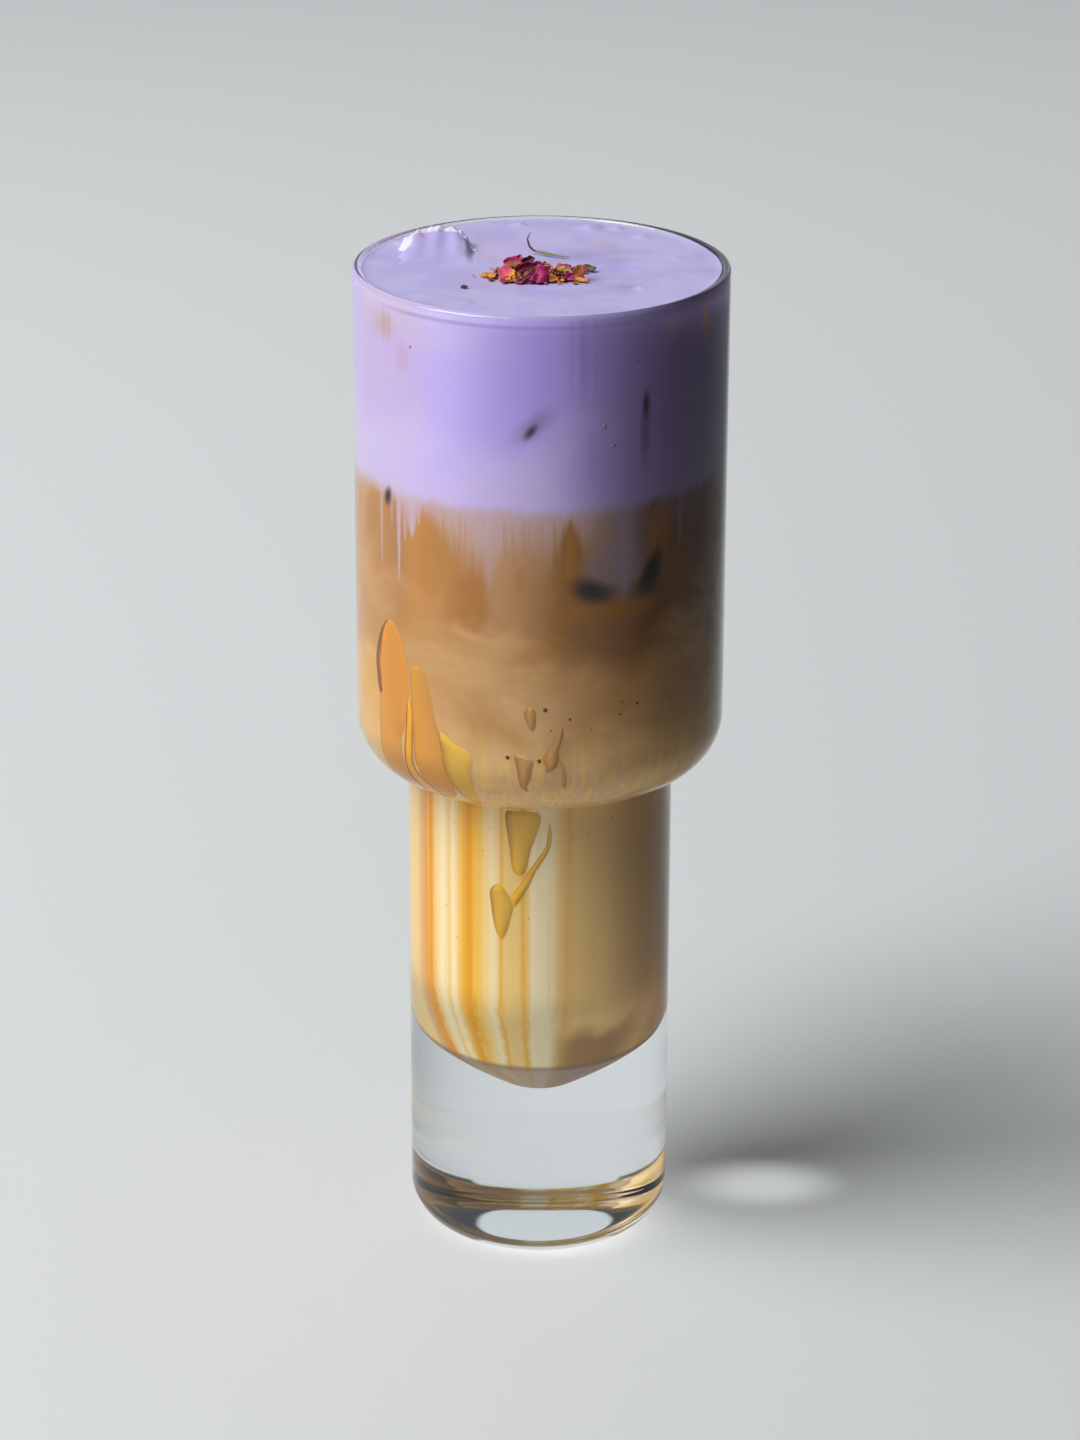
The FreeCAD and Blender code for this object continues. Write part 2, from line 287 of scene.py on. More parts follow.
seam = coffee_top + 1.2 * MM  # the foam's own piece starts here, above the soft painted edge of the coffee
milk = layer_piece("milk_layer", 0, milk_top, "milk")
latte = layer_piece("latte_layer", milk_top, latte_top, "latte")
coffee = layer_piece("coffee_layer", latte_top, seam, "coffee")
print("drink layers:", [piece.name for piece in (milk, latte, coffee)])

# %% [markdown]
# ## The foam
#
# The foam's own piece starts a little above the coffee and ends in the surface that shows in the glass.
# That surface is a disc of rings: each ring's height is a sum of named shapes. Against the wall it climbs
# in a thin lip, because froth sticks to glass. At the back left a spoon has pulled up a torn peak.

# %% Smooth steps and noise for whole arrays
def smooth(low, high, value):
    """0 below low, 1 above high, and in between 3t^2 - 2t^3 of the share t of the way."""
    t = np.clip((value - low) / (high - low), 0, 1)
    return t * t * (3 - 2 * t)


def ripples(x, y, scale, seed, layers=4):
    """A repeatable uneven height from about -1 to 1: sines along turned axes, each finer and weaker."""
    total = np.zeros_like(x)
    for layer in range(layers):
        for turn in range(3):
            angle = 1.7 * turn + 2.4 * layer + seed
            wave = (x * math.cos(angle) + y * math.sin(angle)) * 2 ** layer / scale
            total += np.sin(2 * np.pi * wave + 5.1 * turn + 3.3 * layer + seed) / (3 * 1.6 ** layer)
    return total


# %% The foam's surface as a height over the level
peak_centre = np.array([-19.2, 11.8]) * MM
peak_length, peak_width, peak_height = 14.0 * MM, 13.0 * MM, 3.6 * MM
# Low bumps: bearing, distance from the axis, radius and rise in mm.
foam_bumps = ((71, 29.0, 2.6, 0.75), (62, 30.4, 1.5, 0.5), (98, 30.0, 1.6, 0.5), (48, 28.5, 1.8, 0.45))
foam_bumps += ((148, 31.2, 1.5, 0.4), (-35, 22.0, 1.2, 0.2), (-120, 27.0, 1.6, 0.2), (15, 26.0, 1.8, 0.2))

# Froth lumps along the torn crest: share along it, share across it, radius and rise in mm.
FROTH_LUMPS = 90
froth_source = np.random.default_rng(5)
lump_along = froth_source.uniform(-1.02, 1.0, FROTH_LUMPS)
lump_across = froth_source.normal(0.0, 0.1, FROTH_LUMPS)
lump_radius = froth_source.uniform(0.35, 1.0, FROTH_LUMPS)
lump_rise = froth_source.uniform(0.12, 0.5, FROTH_LUMPS)


def peak_shares(x, y):
    """Position along and across the crest, both from -1 to 1, and the bowed line that the crest follows."""
    along = (x - peak_centre[0]) / (peak_length / 2)
    across = (y - peak_centre[1]) / (peak_width / 2)
    crest_line = 0.62 - 0.45 * along ** 2 + 0.05 * np.sin(4.1 * along + 0.6) + 0.03 * np.sin(9.7 * along)
    return along, across, crest_line


def peak_rise(x, y):
    """The torn peak: a ramp that climbs to a ragged crest and drops behind it.

    Along the crest the height falls off as 1 minus the fifth power of the distance from its middle. Across
    it, the ramp rises as a smooth step and the back falls in a short one.
    """
    along, across, crest_line = peak_shares(x, y)
    ramp = smooth(-1.25, 1.0, (across - crest_line) + 1.0) ** 1.5
    back = 1 - smooth(0.02, 0.3, across - crest_line)
    side = np.clip(1 - np.abs(along + 0.06 * np.sin(7 * across)) ** 5, 0, 1)
    right = 1 - smooth(0.7, 0.96, along)
    wavy = 1 + 0.07 * np.sin(5.3 * along + 1.0) + 0.05 * np.sin(11.9 * along + 2.0)
    return peak_height * 0.86 * ramp * back * side * right * wavy


def froth_rise(x, y):
    """Froth on the crest: the sum of small round lumps, and how much froth lies at each point (0 to 1)."""
    height = np.zeros_like(x)
    for along, across, radius, rise in zip(lump_along, lump_across, lump_radius, lump_rise):
        lump_x = peak_centre[0] + along * peak_length / 2
        line = 0.56 - 0.47 * along ** 2
        lump_y = peak_centre[1] + (line + across) * peak_width / 2
        away = ((x - lump_x) ** 2 + (y - lump_y) ** 2) / (radius * MM) ** 2
        height += rise * MM * np.clip(1 - away, 0, 1) ** 2
    along, across, crest_line = peak_shares(x, y)
    band = np.exp(-(((across - crest_line) + 0.02) / 0.13) ** 2) * (1 - smooth(0.92, 1.12, np.abs(along)))
    tail = np.exp(-(((x + 25.4 * MM) / (1.5 * MM)) ** 2 + ((y - 11.6 * MM) / (2.6 * MM)) ** 2))
    return height * 0.55, np.clip(band + tail + height / (0.5 * MM), 0, 1)


def foam_height(x, y):
    """Height of the foam over its level: gentle waves, low bumps, the peak, and a lip at the wall."""
    distance = np.hypot(x, y)
    height = 0.1 * MM * ripples(x, y, 23 * MM, 3.0, layers=3)
    height -= 0.25 * MM * smooth(0.9, 0.2, distance / cup_bore)
    for bearing, reach, radius, rise in foam_bumps:
        angle = math.radians(bearing)
        away = np.hypot(x - reach * MM * math.cos(angle), y - reach * MM * math.sin(angle)) / (radius * MM)
        uneven = 1 + 0.25 * ripples(x, y, 2.2 * MM, bearing, layers=2)
        height += rise * MM * np.exp(-1.6 * away ** 2) * uneven
    height += 0.35 * MM * np.exp(-(cup_bore - distance) / (0.8 * MM))
    return height + peak_rise(x, y) + froth_rise(x, y)[0]


def foam_piece(columns=400, rings=150):
    """The foam's wall strip from the seam up to the surface, the surface in rings, and a flat underside."""
    outer = cup_bore + into_wall
    angles = 2 * np.pi * np.arange(columns) / columns
    edge = foam_height(cup_bore * np.cos(angles), cup_bore * np.sin(angles))
    rise = np.linspace(0, 1, 12)[:, None]
    top = foam_level + edge
    wall_z = seam + (top - 0.5 * MM - seam) * rise
    wall_r = np.full_like(wall_z, outer)
    radii = (cup_bore - 0.15 * MM) * np.linspace(1, 0, rings)[:-1, None]
    surface_r = radii * np.ones(columns)
    surface_z = foam_level + foam_height(surface_r * np.cos(angles), surface_r * np.sin(angles))
    r = np.concatenate([np.full((1, columns), 0.3 * outer), wall_r, surface_r])
    z = np.concatenate([np.full((1, columns), seam), wall_z, surface_z])
    shell = np.stack([r * np.cos(angles), r * np.sin(angles), z], -1).reshape(-1, 3)
    middle = foam_level + foam_height(np.zeros(1), np.zeros(1))[0]
    ends = np.array([[0, 0, seam], [0, 0, middle]])
    piece = closed_rings("foam_cap", shell, ends, columns)
    x, y, z = np.concatenate([shell, ends]).T
    store(piece, "froth", froth_rise(x, y)[1] * (z > foam_level))
    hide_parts("lavender_foam")
    return piece


foam = foam_piece()
foam_top = max(vertex.co.z for vertex in foam.data.vertices)
print("foam:", len(foam.data.polygons), "faces, top at", round(foam_top * 1000, 2), "mm")

# %% [markdown]
# ## Writing materials as sums
#
# A material is a network of nodes, but it reads better as a formula. `Value` wraps one output of a node. A
# plus, minus, times or power sign between two values adds the Math node that works it out, also when a
# plain number stands first, as in `1 - mask`. Every other node comes from `Finish.node`.

# %% Values and finishes
class Value:
    """One number that travels between nodes."""

    def __init__(self, finish, socket):
        self.finish, self.socket = finish, socket

    def math(self, operation, *others):
        inputs = dict(enumerate((self, *others)))
        node = self.finish.node("ShaderNodeMath", {"operation": operation}, inputs)
        return Value(self.finish, node.outputs[0])

    def __add__(self, other):
        return self.math("ADD", other)

    def __sub__(self, other):
        return self.math("SUBTRACT", other)

    def __rsub__(self, other):
        node = self.finish.node("ShaderNodeMath", {"operation": "SUBTRACT"}, {0: other, 1: self})
        return Value(self.finish, node.outputs[0])

    def __mul__(self, other):
        return self.math("MULTIPLY", other)

    def __truediv__(self, other):
        return self.math("DIVIDE", other)

    def __pow__(self, other):
        return self.math("POWER", other)

    def __neg__(self):
        return self.math("MULTIPLY", -1.0)

    def __abs__(self):
        return self.math("ABSOLUTE")

    __radd__ = __add__
    __rmul__ = __mul__

    def largest(self, other):
        return self.math("MAXIMUM", other)

    def smallest(self, other):
        return self.math("MINIMUM", other)

    def step(self, low, high):
        """0 below low and 1 above high, smoothly; low may be above high."""
        if low > high:
            return 1 - self.step(high, low)
        settings = {"interpolation_type": "SMOOTHSTEP", "clamp": True}
        inputs = {"Value": self, "From Min": low, "From Max": high}
        node = self.finish.node("ShaderNodeMapRange", settings, inputs)
        return Value(self.finish, node.outputs["Result"])

    def bump_at(self, centre, width):
        """1 where the value is at the centre, falling smoothly to 0 at the width away from it."""
        return abs(self - centre).step(width, 0.0)


class Finish:
    """A material and its nodes. Lengths inside it are in millimetres of the object's own coordinates."""

    def __init__(self, name, pieces=()):
        self.material = bpy.data.materials.new(name)
        self.material.use_nodes = True
        self.tree = self.material.node_tree
        self.shader = self.tree.nodes["Principled BSDF"]
        self.output = self.tree.nodes["Material Output"]
        for piece in pieces:
            piece.data.materials.clear()
            piece.data.materials.append(self.material)

    def node(self, kind, settings=None, inputs=None):
        made = self.tree.nodes.new(kind)
        for key, setting in (settings or {}).items():
            setattr(made, key, setting)
        for key, given in (inputs or {}).items():
            self.feed(made.inputs[key], given)
        return made

    def feed(self, socket, given):
        if isinstance(given, Value):
            given = given.socket
        if isinstance(given, bpy.types.NodeSocket):
            self.tree.links.new(given, socket)
        elif isinstance(given, tuple) and len(given) == 3 and socket.type == "RGBA":
            socket.default_value = (*given, 1.0)
        else:
            socket.default_value = given

    def set(self, **inputs):
        """Sets or links sockets of the Principled shader; an underscore stands for a space in a name."""
        for name, given in inputs.items():
            self.feed(self.shader.inputs[name.replace("_", " ")], given)

    def places(self):
        """The x, y and z of the shaded point, in millimetres, as three values."""
        position = self.node("ShaderNodeTexCoord").outputs["Object"]
        split = self.node("ShaderNodeSeparateXYZ", inputs={0: position})
        return [Value(self, out) * 1000.0 for out in split.outputs]

    def attribute(self, name):
        """The number that `store` kept for each point."""
        return Value(self, self.node("ShaderNodeAttribute", {"attribute_name": name}).outputs["Fac"])

    def vector(self, x, y, z):
        return self.node("ShaderNodeCombineXYZ", inputs={0: x, 1: y, 2: z}).outputs[0]

    def noise(self, vector, scale=1.0, detail=3.0, roughness=0.5, distortion=0.0):
        """Uneven value around 0.5; the vector is in the noise's own unit lengths once times the scale."""
        inputs = {
            "Vector": vector, "Scale": scale, "Detail": detail,
            "Roughness": roughness, "Distortion": distortion,
        }
        return Value(self, self.node("ShaderNodeTexNoise", inputs=inputs).outputs["Fac"])

    def mix(self, share, first, second):
        """The first colour where the share is 0 and the second where it is 1."""
        node = self.node("ShaderNodeMix", {"data_type": "RGBA"}, {0: share})
        self.feed(node.inputs[6], first)
        self.feed(node.inputs[7], second)
        return node.outputs[2]

    def ramp(self, value, stops):
        """A colour for each value: (position, colour) stops, blended in between."""
        node = self.node("ShaderNodeValToRGB", inputs={0: value})
        elements = node.color_ramp.elements
        while len(elements) < len(stops):
            elements.new(0.5)
        for element, (position, colour) in zip(elements, stops):
            element.position = position
            element.color = (*colour, 1.0)
        return node.outputs[0]


def tint(red, green, blue):
    """A colour given as three numbers from 0 to 255, as on a screen, turned into light."""
    share = np.array([red, green, blue]) / 255
    return tuple(np.where(share <= 0.04045, share / 12.92, ((share + 0.055) / 1.055) ** 2.4).tolist())


# %% [markdown]
# ## Clear glass
#
# Light reaches the drink through the wall. A renderer that follows every bent ray needs very many samples
# for that, so rays that only ask how much lamplight arrives pass straight through, and all other rays see
# true glass.

# %% Glass
def glass_finish(piece):
    finish = Finish("clear_glass", [piece])
    finish.set(Base_Color=(0.952, 0.975, 0.995), Roughness=0.0, IOR=1.5, Transmission_Weight=1.0)
    clear = finish.node("ShaderNodeBsdfTransparent", inputs={"Color": (0.94, 0.95, 0.955)})
    path = finish.node("ShaderNodeLightPath")
    blend = finish.node("ShaderNodeMixShader", inputs={
        0: path.outputs["Is Shadow Ray"], 1: finish.shader.outputs[0], 2: clear.outputs[0],
    })
    finish.feed(finish.output.inputs["Surface"], blend.outputs[0])


glass_finish(glass)
print("glass finish ready")

# %% [markdown]
# ## The drink's colours
#
# Milk, coffee, honey and froth are not separate paints: they run into each other along the glass. So one
# formula colours the whole wall of the drink, and all its layers share it. It works with the bearing round
# the axis, in degrees from the front, and the height. It starts with the milk's streaks and lays the latte,
# the coffee, the veil of froth and its drips over them, each with a mask that has a soft, uneven edge.

# %% Colours of the drink
FOAM = tint(208, 192, 238)
FOAM_PALE = tint(206, 192, 224)
FOAM_DEEP = tint(182, 162, 238)
FOAM_PINK_TAN = tint(204, 170, 172)
FOAM_PAINTED_SHADE = tint(148, 128, 180)
FOAM_BROWN_STAIN_AND_SHADE = tint(124, 92, 104)
FOAM_LINE_AND_RIM_REFLECTION = tint(140, 124, 184)
FOAM_TOP = tint(198, 191, 236)
FOAM_TOP_DEEP = tint(182, 172, 228)
FROTH_WHITE = tint(230, 228, 240)
VEIL_HIGH = tint(204, 180, 192)
VEIL_LOW = tint(196, 158, 130)
VEIL_GREY = tint(158, 142, 156)
VEIL_PAINTED_SHADE = tint(132, 102, 92)
LATTE = tint(216, 174, 118)
LATTE_DEEP = tint(192, 144, 80)
LATTE_PALE = tint(234, 194, 146)
LATTE_FOOT_STREAKS_AND_LIGHT = tint(252, 214, 124)
IVORY = tint(248, 234, 196)
CREAM = tint(242, 208, 134)
HONEY = tint(240, 184, 36)
AMBER = tint(232, 156, 14)
CARAMEL = tint(206, 156, 86)
UMBER = tint(186, 146, 86)
DREGS = tint(152, 106, 58)
BOWL_PAINTED_SHADE = tint(140, 116, 98)
HONEY_GLINT_YELLOW = tint(244, 200, 70)
ICE = tint(22, 26, 26)
AMBER_COFFEE = tint(174, 114, 30)

# The milk's streaks from the left edge round to the right: bearing in degrees and colour.
MILK_STREAKS = (
    (-90, CREAM), (-72, CREAM), (-66, LATTE), (-62, AMBER), (-57, AMBER), (-54, CREAM), (-49, IVORY),
    (-45, CREAM), (-42.5, IVORY), (-39.5, CREAM), (-37.5, HONEY), (-34, AMBER), (-31, HONEY),
    (-27, tint(244, 206, 112)), (-21, IVORY), (-17.5, HONEY), (-15.5, CREAM), (-9, CREAM), (-7, HONEY),
    (-5, CREAM), (-3.5, IVORY), (5, IVORY), (9.5, CREAM), (12.5, tint(236, 190, 116)), (17, CREAM),
    (30, tint(246, 210, 140)), (52, tint(228, 184, 116)), (66, tint(226, 178, 112)), (78, CARAMEL),
    (90, CARAMEL),
)

# The coffee's colours in the same way. Right of the front the darkest of them are partly painted shade.
COFFEE_STREAKS_AND_SHADE = (
    (-90, tint(190, 142, 92)), (-68, tint(198, 142, 72)), (-50, tint(176, 124, 70)),
    (-41, tint(200, 138, 62)), (-33, tint(190, 132, 62)), (-26, tint(184, 122, 46)),
    (-21, tint(182, 120, 42)), (-14, tint(194, 146, 96)), (-5, tint(190, 140, 88)), (2, tint(172, 124, 66)),
    (8, tint(150, 98, 22)), (13, tint(150, 100, 36)), (20, tint(150, 106, 66)), (29, tint(146, 100, 62)),
    (38, tint(130, 80, 28)), (48, tint(142, 92, 30)), (58, tint(112, 58, 12)), (66, tint(126, 80, 34)),
    (78, tint(150, 108, 70)), (90, tint(160, 112, 66)),
)

# How far the veil of froth hangs below the foam, in mm, by bearing.
LONGEST_VEIL = 20
VEIL_LENGTHS = (
    (-90, 5), (-70, 4), (-62, 2.5), (-50, 3), (-42, 3.5), (-36, 5), (-30, 9), (-24, 12.5), (-17, 16),
    (-12, 13), (-6, 11), (2, 11.5), (6, 8), (9.3, 2), (13, 9), (18, 12), (23, 14), (27, 17), (31, 13),
    (36, 9), (43, 5), (49, 8), (56, 5), (64, 4), (90, 5),
)

# Single drips of froth: bearing, height of the tip, half width at the root in mm, strength.
FROTH_DRIPS = (
    (-58.4, 140.5, 0.5, 0.7), (-53, 150, 0.8, 0.35), (-49.4, 138.8, 0.95, 0.9), (-46.0, 148.0, 1.5, 0.55),
    (-43.2, 149.5, 1.7, 1.0), (-40.6, 152.5, 0.9, 0.7), (-16.5, 141.0, 3.2, 0.35), (27.0, 138.0, 3.4, 0.75),
    (48.4, 147.0, 1.2, 0.5),
)

# Every list of spots below has rows of bearing, height, half width, half height in mm, slant and strength.
# Pale coffee smeared under the rim.
RIM_SMEARS = (
    (-55.5, 189.0, 2.6, 3.0, 0.0, 0.55), (60.0, 189.5, 1.3, 3.6, 0.0, 0.75),
    (66.0, 184.0, 0.8, 7.0, 0.0, 0.4), (-47.0, 184.0, 1.8, 3.0, 0.0, 0.2),
    (44.0, 191.0, 2.0, 1.6, 0.0, 0.3), (150.0, 188.0, 3.0, 4.0, 0.0, 0.4),
)

# Faint upright lines in the foam's wall: bearing, half width in degrees, strength.
FOAM_LINES = ((12.8, 2.2, 0.35), (9.0, 1.2, 0.2), (16.5, 0.9, 0.2))

# Drops of clear honey in the corner under the cup, partly honey's own colour and partly a painted glint.
NECK_HONEY_GLINTS = (
    (1.5, 98.9, 1.6, 0.5, 0.0, 0.9), (7.5, 98.9, 1.0, 0.5, 0.0, 0.7), (-38.0, 98.9, 1.4, 0.5, 0.0, 0.6),
)

# Froth round the ice, and the clear coffee under it.
ICE_FROTH = ((24.5, 147.0, 6.6, 6.0, 0.0, 0.55),)
ICE_POOL = ((24.0, 138.5, 8.0, 2.2, 0.0, 0.55),)

# Amber patches of clear coffee that hang lower between the veils.
AMBER_PATCHES = (
    (-36.5, 147.0, 3.4, 8.5, 0.15, 0.15), (-25.5, 140.0, 3.2, 5.5, 0.7, 0.6),
    (-22.5, 137.5, 3.0, 3.6, 0.3, 0.6), (-16.0, 136.0, 4.0, 2.2, 0.0, 0.3),
    (-6.0, 145.0, 1.2, 3.2, 0.3, 0.35), (9.2, 147.5, 1.1, 8.5, 0.0, 0.75),
    (8.0, 138.0, 3.4, 4.0, 0.8, 0.55), (0.0, 131.0, 5.0, 3.0, 0.8, 0.4), (39.0, 150.0, 2.2, 7.0, 0.2, 0.5),
    (-66.0, 151.0, 3.0, 5.0, 0.4, 0.4),
)

# Corners of ice that touch the glass.
ICE_CORNERS = (
    (-3.2, 173.4, 0.9, 1.5, 0.9, 0.9), (-2.4, 174.4, 2.4, 3.0, 0.9, 0.35),
    (33.6, 177.0, 0.75, 2.6, 0.1, 0.8), (33.4, 172.5, 1.1, 6.0, 0.1, 0.45),
    (-54.6, 156.6, 0.95, 1.7, 0.3, 1.0), (14.6, 143.0, 3.4, 2.5, -0.3, 0.95),
    (19.5, 142.2, 3.4, 1.6, 0.0, 0.5), (36.4, 145.0, 2.0, 3.2, 0.5, 1.0), (33.6, 142.2, 3.0, 2.0, 0.0, 0.6),
)


# %% Spots and streaks on the drink's wall
MM_PER_DEGREE = math.pi / 180 * cup_bore / MM  # along the cup's wall


def spots(finish, under, places, colour, uneven, rim, core):
    """Lays soft spots over a colour.

    places is the bearing and the height of the shaded point, and the spots. How far a point lies from the
    middle of a spot is the root of the sum of its two squared shares of the half sizes, plus an unevenness.
    The spot has full strength where that is under core and none where it is over rim. Its slant leans it to
    the right.
    """
    bearing, z, rows = places
    for centre, height, half_width, half_height, slant, strength in rows:
        upwards = (z - height) / half_height
        sideways = (bearing - centre) * (MM_PER_DEGREE / half_width) - upwards * slant
        away = (sideways * sideways + upwards * upwards).math("SQRT") + uneven
        under = finish.mix(away.step(rim, core) * strength, under, colour)
    return under


def by_bearing(finish, turn, streaks):
    """A colour for each share of the way from the left edge to the right one: (bearing, colour) streaks."""
    return finish.ramp(turn, [((bearing + 90) / 180, colour) for bearing, colour in streaks])


# %% The formula for the drink's wall
def drink_colour(finish):
    """Colour of the drink at every point, from the bearing round the axis and the height."""
    x, y, z = finish.places()
    bearing = x.math("ARCTAN2", -y) * DEGREES
    side = x.math("ARCTAN2", abs(y)) * DEGREES  # the back mirrors the front, so nothing jumps at the sides
    turn = (side + 90) / 180
    fine = finish.noise(finish.vector(x * 1.1, y * 1.1, z * 0.014), detail=3.0)
    broad = finish.noise(finish.vector(x * 0.16, y * 0.16, z * 0.02 + 4.0), detail=2.0)
    swirl = finish.noise(finish.vector(x * 0.036, y * 0.036, z * 0.06), detail=4.0, distortion=0.7)
    cloud = finish.noise(finish.vector(x * 0.03 + 7, y * 0.03, z * 0.045), detail=3.0, distortion=0.4)

    # Milk: streaks by bearing.
    colour = by_bearing(finish, turn + (fine - 0.5) * 0.022 + (broad - 0.5) * 0.016, MILK_STREAKS)
    colour = finish.mix(fine.step(0.5, 0.72) * 0.35, colour, CREAM)
    smudge = z.step(52, 40) * cloud.step(0.35, 0.6) * side.step(0, 40)
    colour = finish.mix(smudge * 0.5, colour, UMBER)
    dregs = (z + (broad - 0.5) * 8).step(51, 45) * side.step(4, 20) * side.step(66, 40)
    colour = finish.mix(dregs * 0.8, colour, DREGS)

    # Latte over the milk: the streaks fade out over the bottom of the cup.
    latte_colour = finish.mix(swirl.step(0.36, 0.64) * 0.8, LATTE, LATTE_DEEP)
    latte_colour = finish.mix(swirl.step(0.46, 0.3) * 0.8, latte_colour, LATTE_PALE)
    latte_colour = finish.mix(side.step(-50, -70) * z.step(134, 116) * 0.45, latte_colour, HONEY)
    # Near the cup's rounded bottom the latte is streaked paler and yellower: partly its own streaks, partly
    # painted light where the lamps reach it less.
    streaky = finish.mix(fine.step(0.35, 0.62), LATTE_FOOT_STREAKS_AND_LIGHT, LATTE_PALE)
    latte_colour = finish.mix((z + (broad - 0.5) * 16).step(118, 101) * 0.85, latte_colour, streaky)
    colour = finish.mix((z + (fine - 0.5) * 6).step(96.5, 101), colour, latte_colour)

    # Coffee over the latte, with a cloudy edge.
    coffee_colour = by_bearing(finish, turn + (broad - 0.5) * 0.03 + (swirl - 0.5) * 0.05, COFFEE_STREAKS_AND_SHADE)
    reach = z + (swirl - 0.5) * 30 + (cloud - 0.5) * 36 + side.step(-12, 20) * 4 - side.step(24, 60) * 10
    colour = finish.mix(reach.step(124, 141) * 0.94, colour, coffee_colour)

    # The veil of froth that clings to the glass, finely streaked.
    top = coffee_top / MM
    depth = top - z
    lengths = [(place, (length / LONGEST_VEIL,) * 3) for place, length in VEIL_LENGTHS]
    length = Value(finish, by_bearing(finish, turn, lengths)) * LONGEST_VEIL
    ragged = depth / (length * (1 + (broad - 0.5) * 0.9)) + (fine - 0.5) * 0.8
    veil_colour = finish.mix((depth / length).step(0.0, 0.9), VEIL_HIGH, VEIL_LOW)
    thin = finish.noise(finish.vector(x * 2.6, y * 2.6, z * 0.03), detail=2.0)
    veil_colour = finish.mix(thin.step(0.5, 0.66) * depth.step(0.5, 4.0) * 0.6, veil_colour, LATTE_DEEP)
    # Painted shade: the veil is painted darker right of the front.
    veil_colour = finish.mix(side.step(6, 34) * side.step(86, 62), veil_colour, VEIL_PAINTED_SHADE)
    colour = finish.mix(ragged.step(1.15, 0.4) * 0.78, colour, veil_colour)

    # Single drips, each a width that shrinks towards its tip.
    for centre, tip, half, strength in FROTH_DRIPS:
        share = ((z - tip) / (top - tip)).largest(0.0).smallest(1.0)
        width = (share ** 0.8 * half + 0.03) / (cup_bore / MM) * DEGREES
        away = abs(bearing - centre + (broad - 0.5) * 3) / width
        inside = away.step(1.6, 0.0) * share.step(0.0, 0.25)
        colour = finish.mix(inside * strength, colour, VEIL_GREY if centre > 20 else VEIL_HIGH)

    # Clear coffee that hangs lower between the veils, and the froth that lies round the ice.
    patchy = (broad - 0.5) * 1.1 + (swirl - 0.5) * 1.2
    colour = spots(finish, colour, (bearing, z, AMBER_PATCHES), AMBER_COFFEE, patchy, 1.25, 0.55)
    swirly = (swirl - 0.5) * 0.8
    colour = spots(finish, colour, (bearing, z, ICE_FROTH), VEIL_GREY, swirly, 1.25, 0.6)
    colour = spots(finish, colour, (bearing, z, ICE_POOL), AMBER_COFFEE, swirly, 1.3, 0.5)

    # Foam: paler at the left, deeper in the middle and pinkish under the rim at the left.
    # Right of the front it is painted darker as shade, and brownish partly by stains, partly by painted
    # shade.
    foam_colour = finish.mix(side.step(-56, -28), FOAM_PALE, FOAM)
    foam_colour = finish.mix(cloud.step(0.4, 0.62) * 0.35, foam_colour, FOAM_DEEP)
    deep = side.step(-34, 2) * (z + (cloud - 0.5) * 40).step(162, 186)
    foam_colour = finish.mix(deep * 0.9, foam_colour, FOAM_DEEP)
    pink_patch = side.step(-78, -66) * side.step(-30, -50) * (z + (cloud - 0.5) * 40).step(160, 184)
    foam_colour = finish.mix(pink_patch * (broad - 0.15) * 0.6, foam_colour, FOAM_PINK_TAN)
    # Painted shade: the foam's wall is painted darker right of the front, where little lamplight falls.
    foam_colour = finish.mix(side.step(2, 32) * side.step(82, 44) * 0.8, foam_colour, FOAM_PAINTED_SHADE)
    # Brownish towards the right: partly coffee stains, partly painted shade.
    brown = (side + (z - 175) * 0.4 + (cloud - 0.5) * 36).step(30, 70)
    foam_colour = finish.mix(brown * side.step(88, 66) * 0.35, foam_colour, FOAM_BROWN_STAIN_AND_SHADE)
    for centre, wide, faint in FOAM_LINES:
        line = (bearing - centre + (broad - 0.5) * 1.5).bump_at(0.0, wide)
        foam_colour = finish.mix(line * z.step(176, 184) * faint, foam_colour, FOAM_LINE_AND_RIM_REFLECTION)
    smears = (bearing, z, RIM_SMEARS)
    foam_colour = spots(finish, foam_colour, smears, LATTE_DEEP, (fine - 0.5) * 1.2, 1.4, 0.3)
    # Painted reflection of the rim: a darker line on the foam just under it.
    rim_reflection_span = side.step(-66, -40) * side.step(76, 50)
    foam_colour = finish.mix((z - 192.7).bump_at(0.0, 0.7) * rim_reflection_span * 0.55, foam_colour, FOAM_LINE_AND_RIM_REFLECTION)
    foam_share = (z + (fine - 0.5) * 2.0 + (broad - 0.5) * 1.6).step(top - 1.6, top + 1.2)
    colour = finish.mix(foam_share, colour, foam_colour)

    # Ice where a corner rests on the glass, and clear honey in the corner under the cup with a painted glint.
    colour = spots(finish, colour, (bearing, z, ICE_CORNERS), ICE, (broad - 0.5) * 0.8, 1.6, 0.2)
    colour = spots(finish, colour, (bearing, z, NECK_HONEY_GLINTS), HONEY_GLINT_YELLOW, (fine - 0.5) * 0.9, 1.3, 0.5)

    # Under the edge of the bowl the drink is painted grey and brown as shade, where little lamplight arrives.
    bowl_edge = 40.0
    colour = finish.mix(z.step(bowl_edge + 0.4, bowl_edge - 0.8) * 0.8, colour, BOWL_PAINTED_SHADE)
    return colour


# %% One finish for the milk, the latte and the coffee, and one for the foam
def drink_finish(pieces):
    """Liquid behind glass: where the two touch nothing mirrors, so there is almost no gloss."""
    finish = Finish("layered_drink", pieces)
    finish.set(Base_Color=drink_colour(finish), Roughness=0.4, Specular_IOR_Level=0.08)


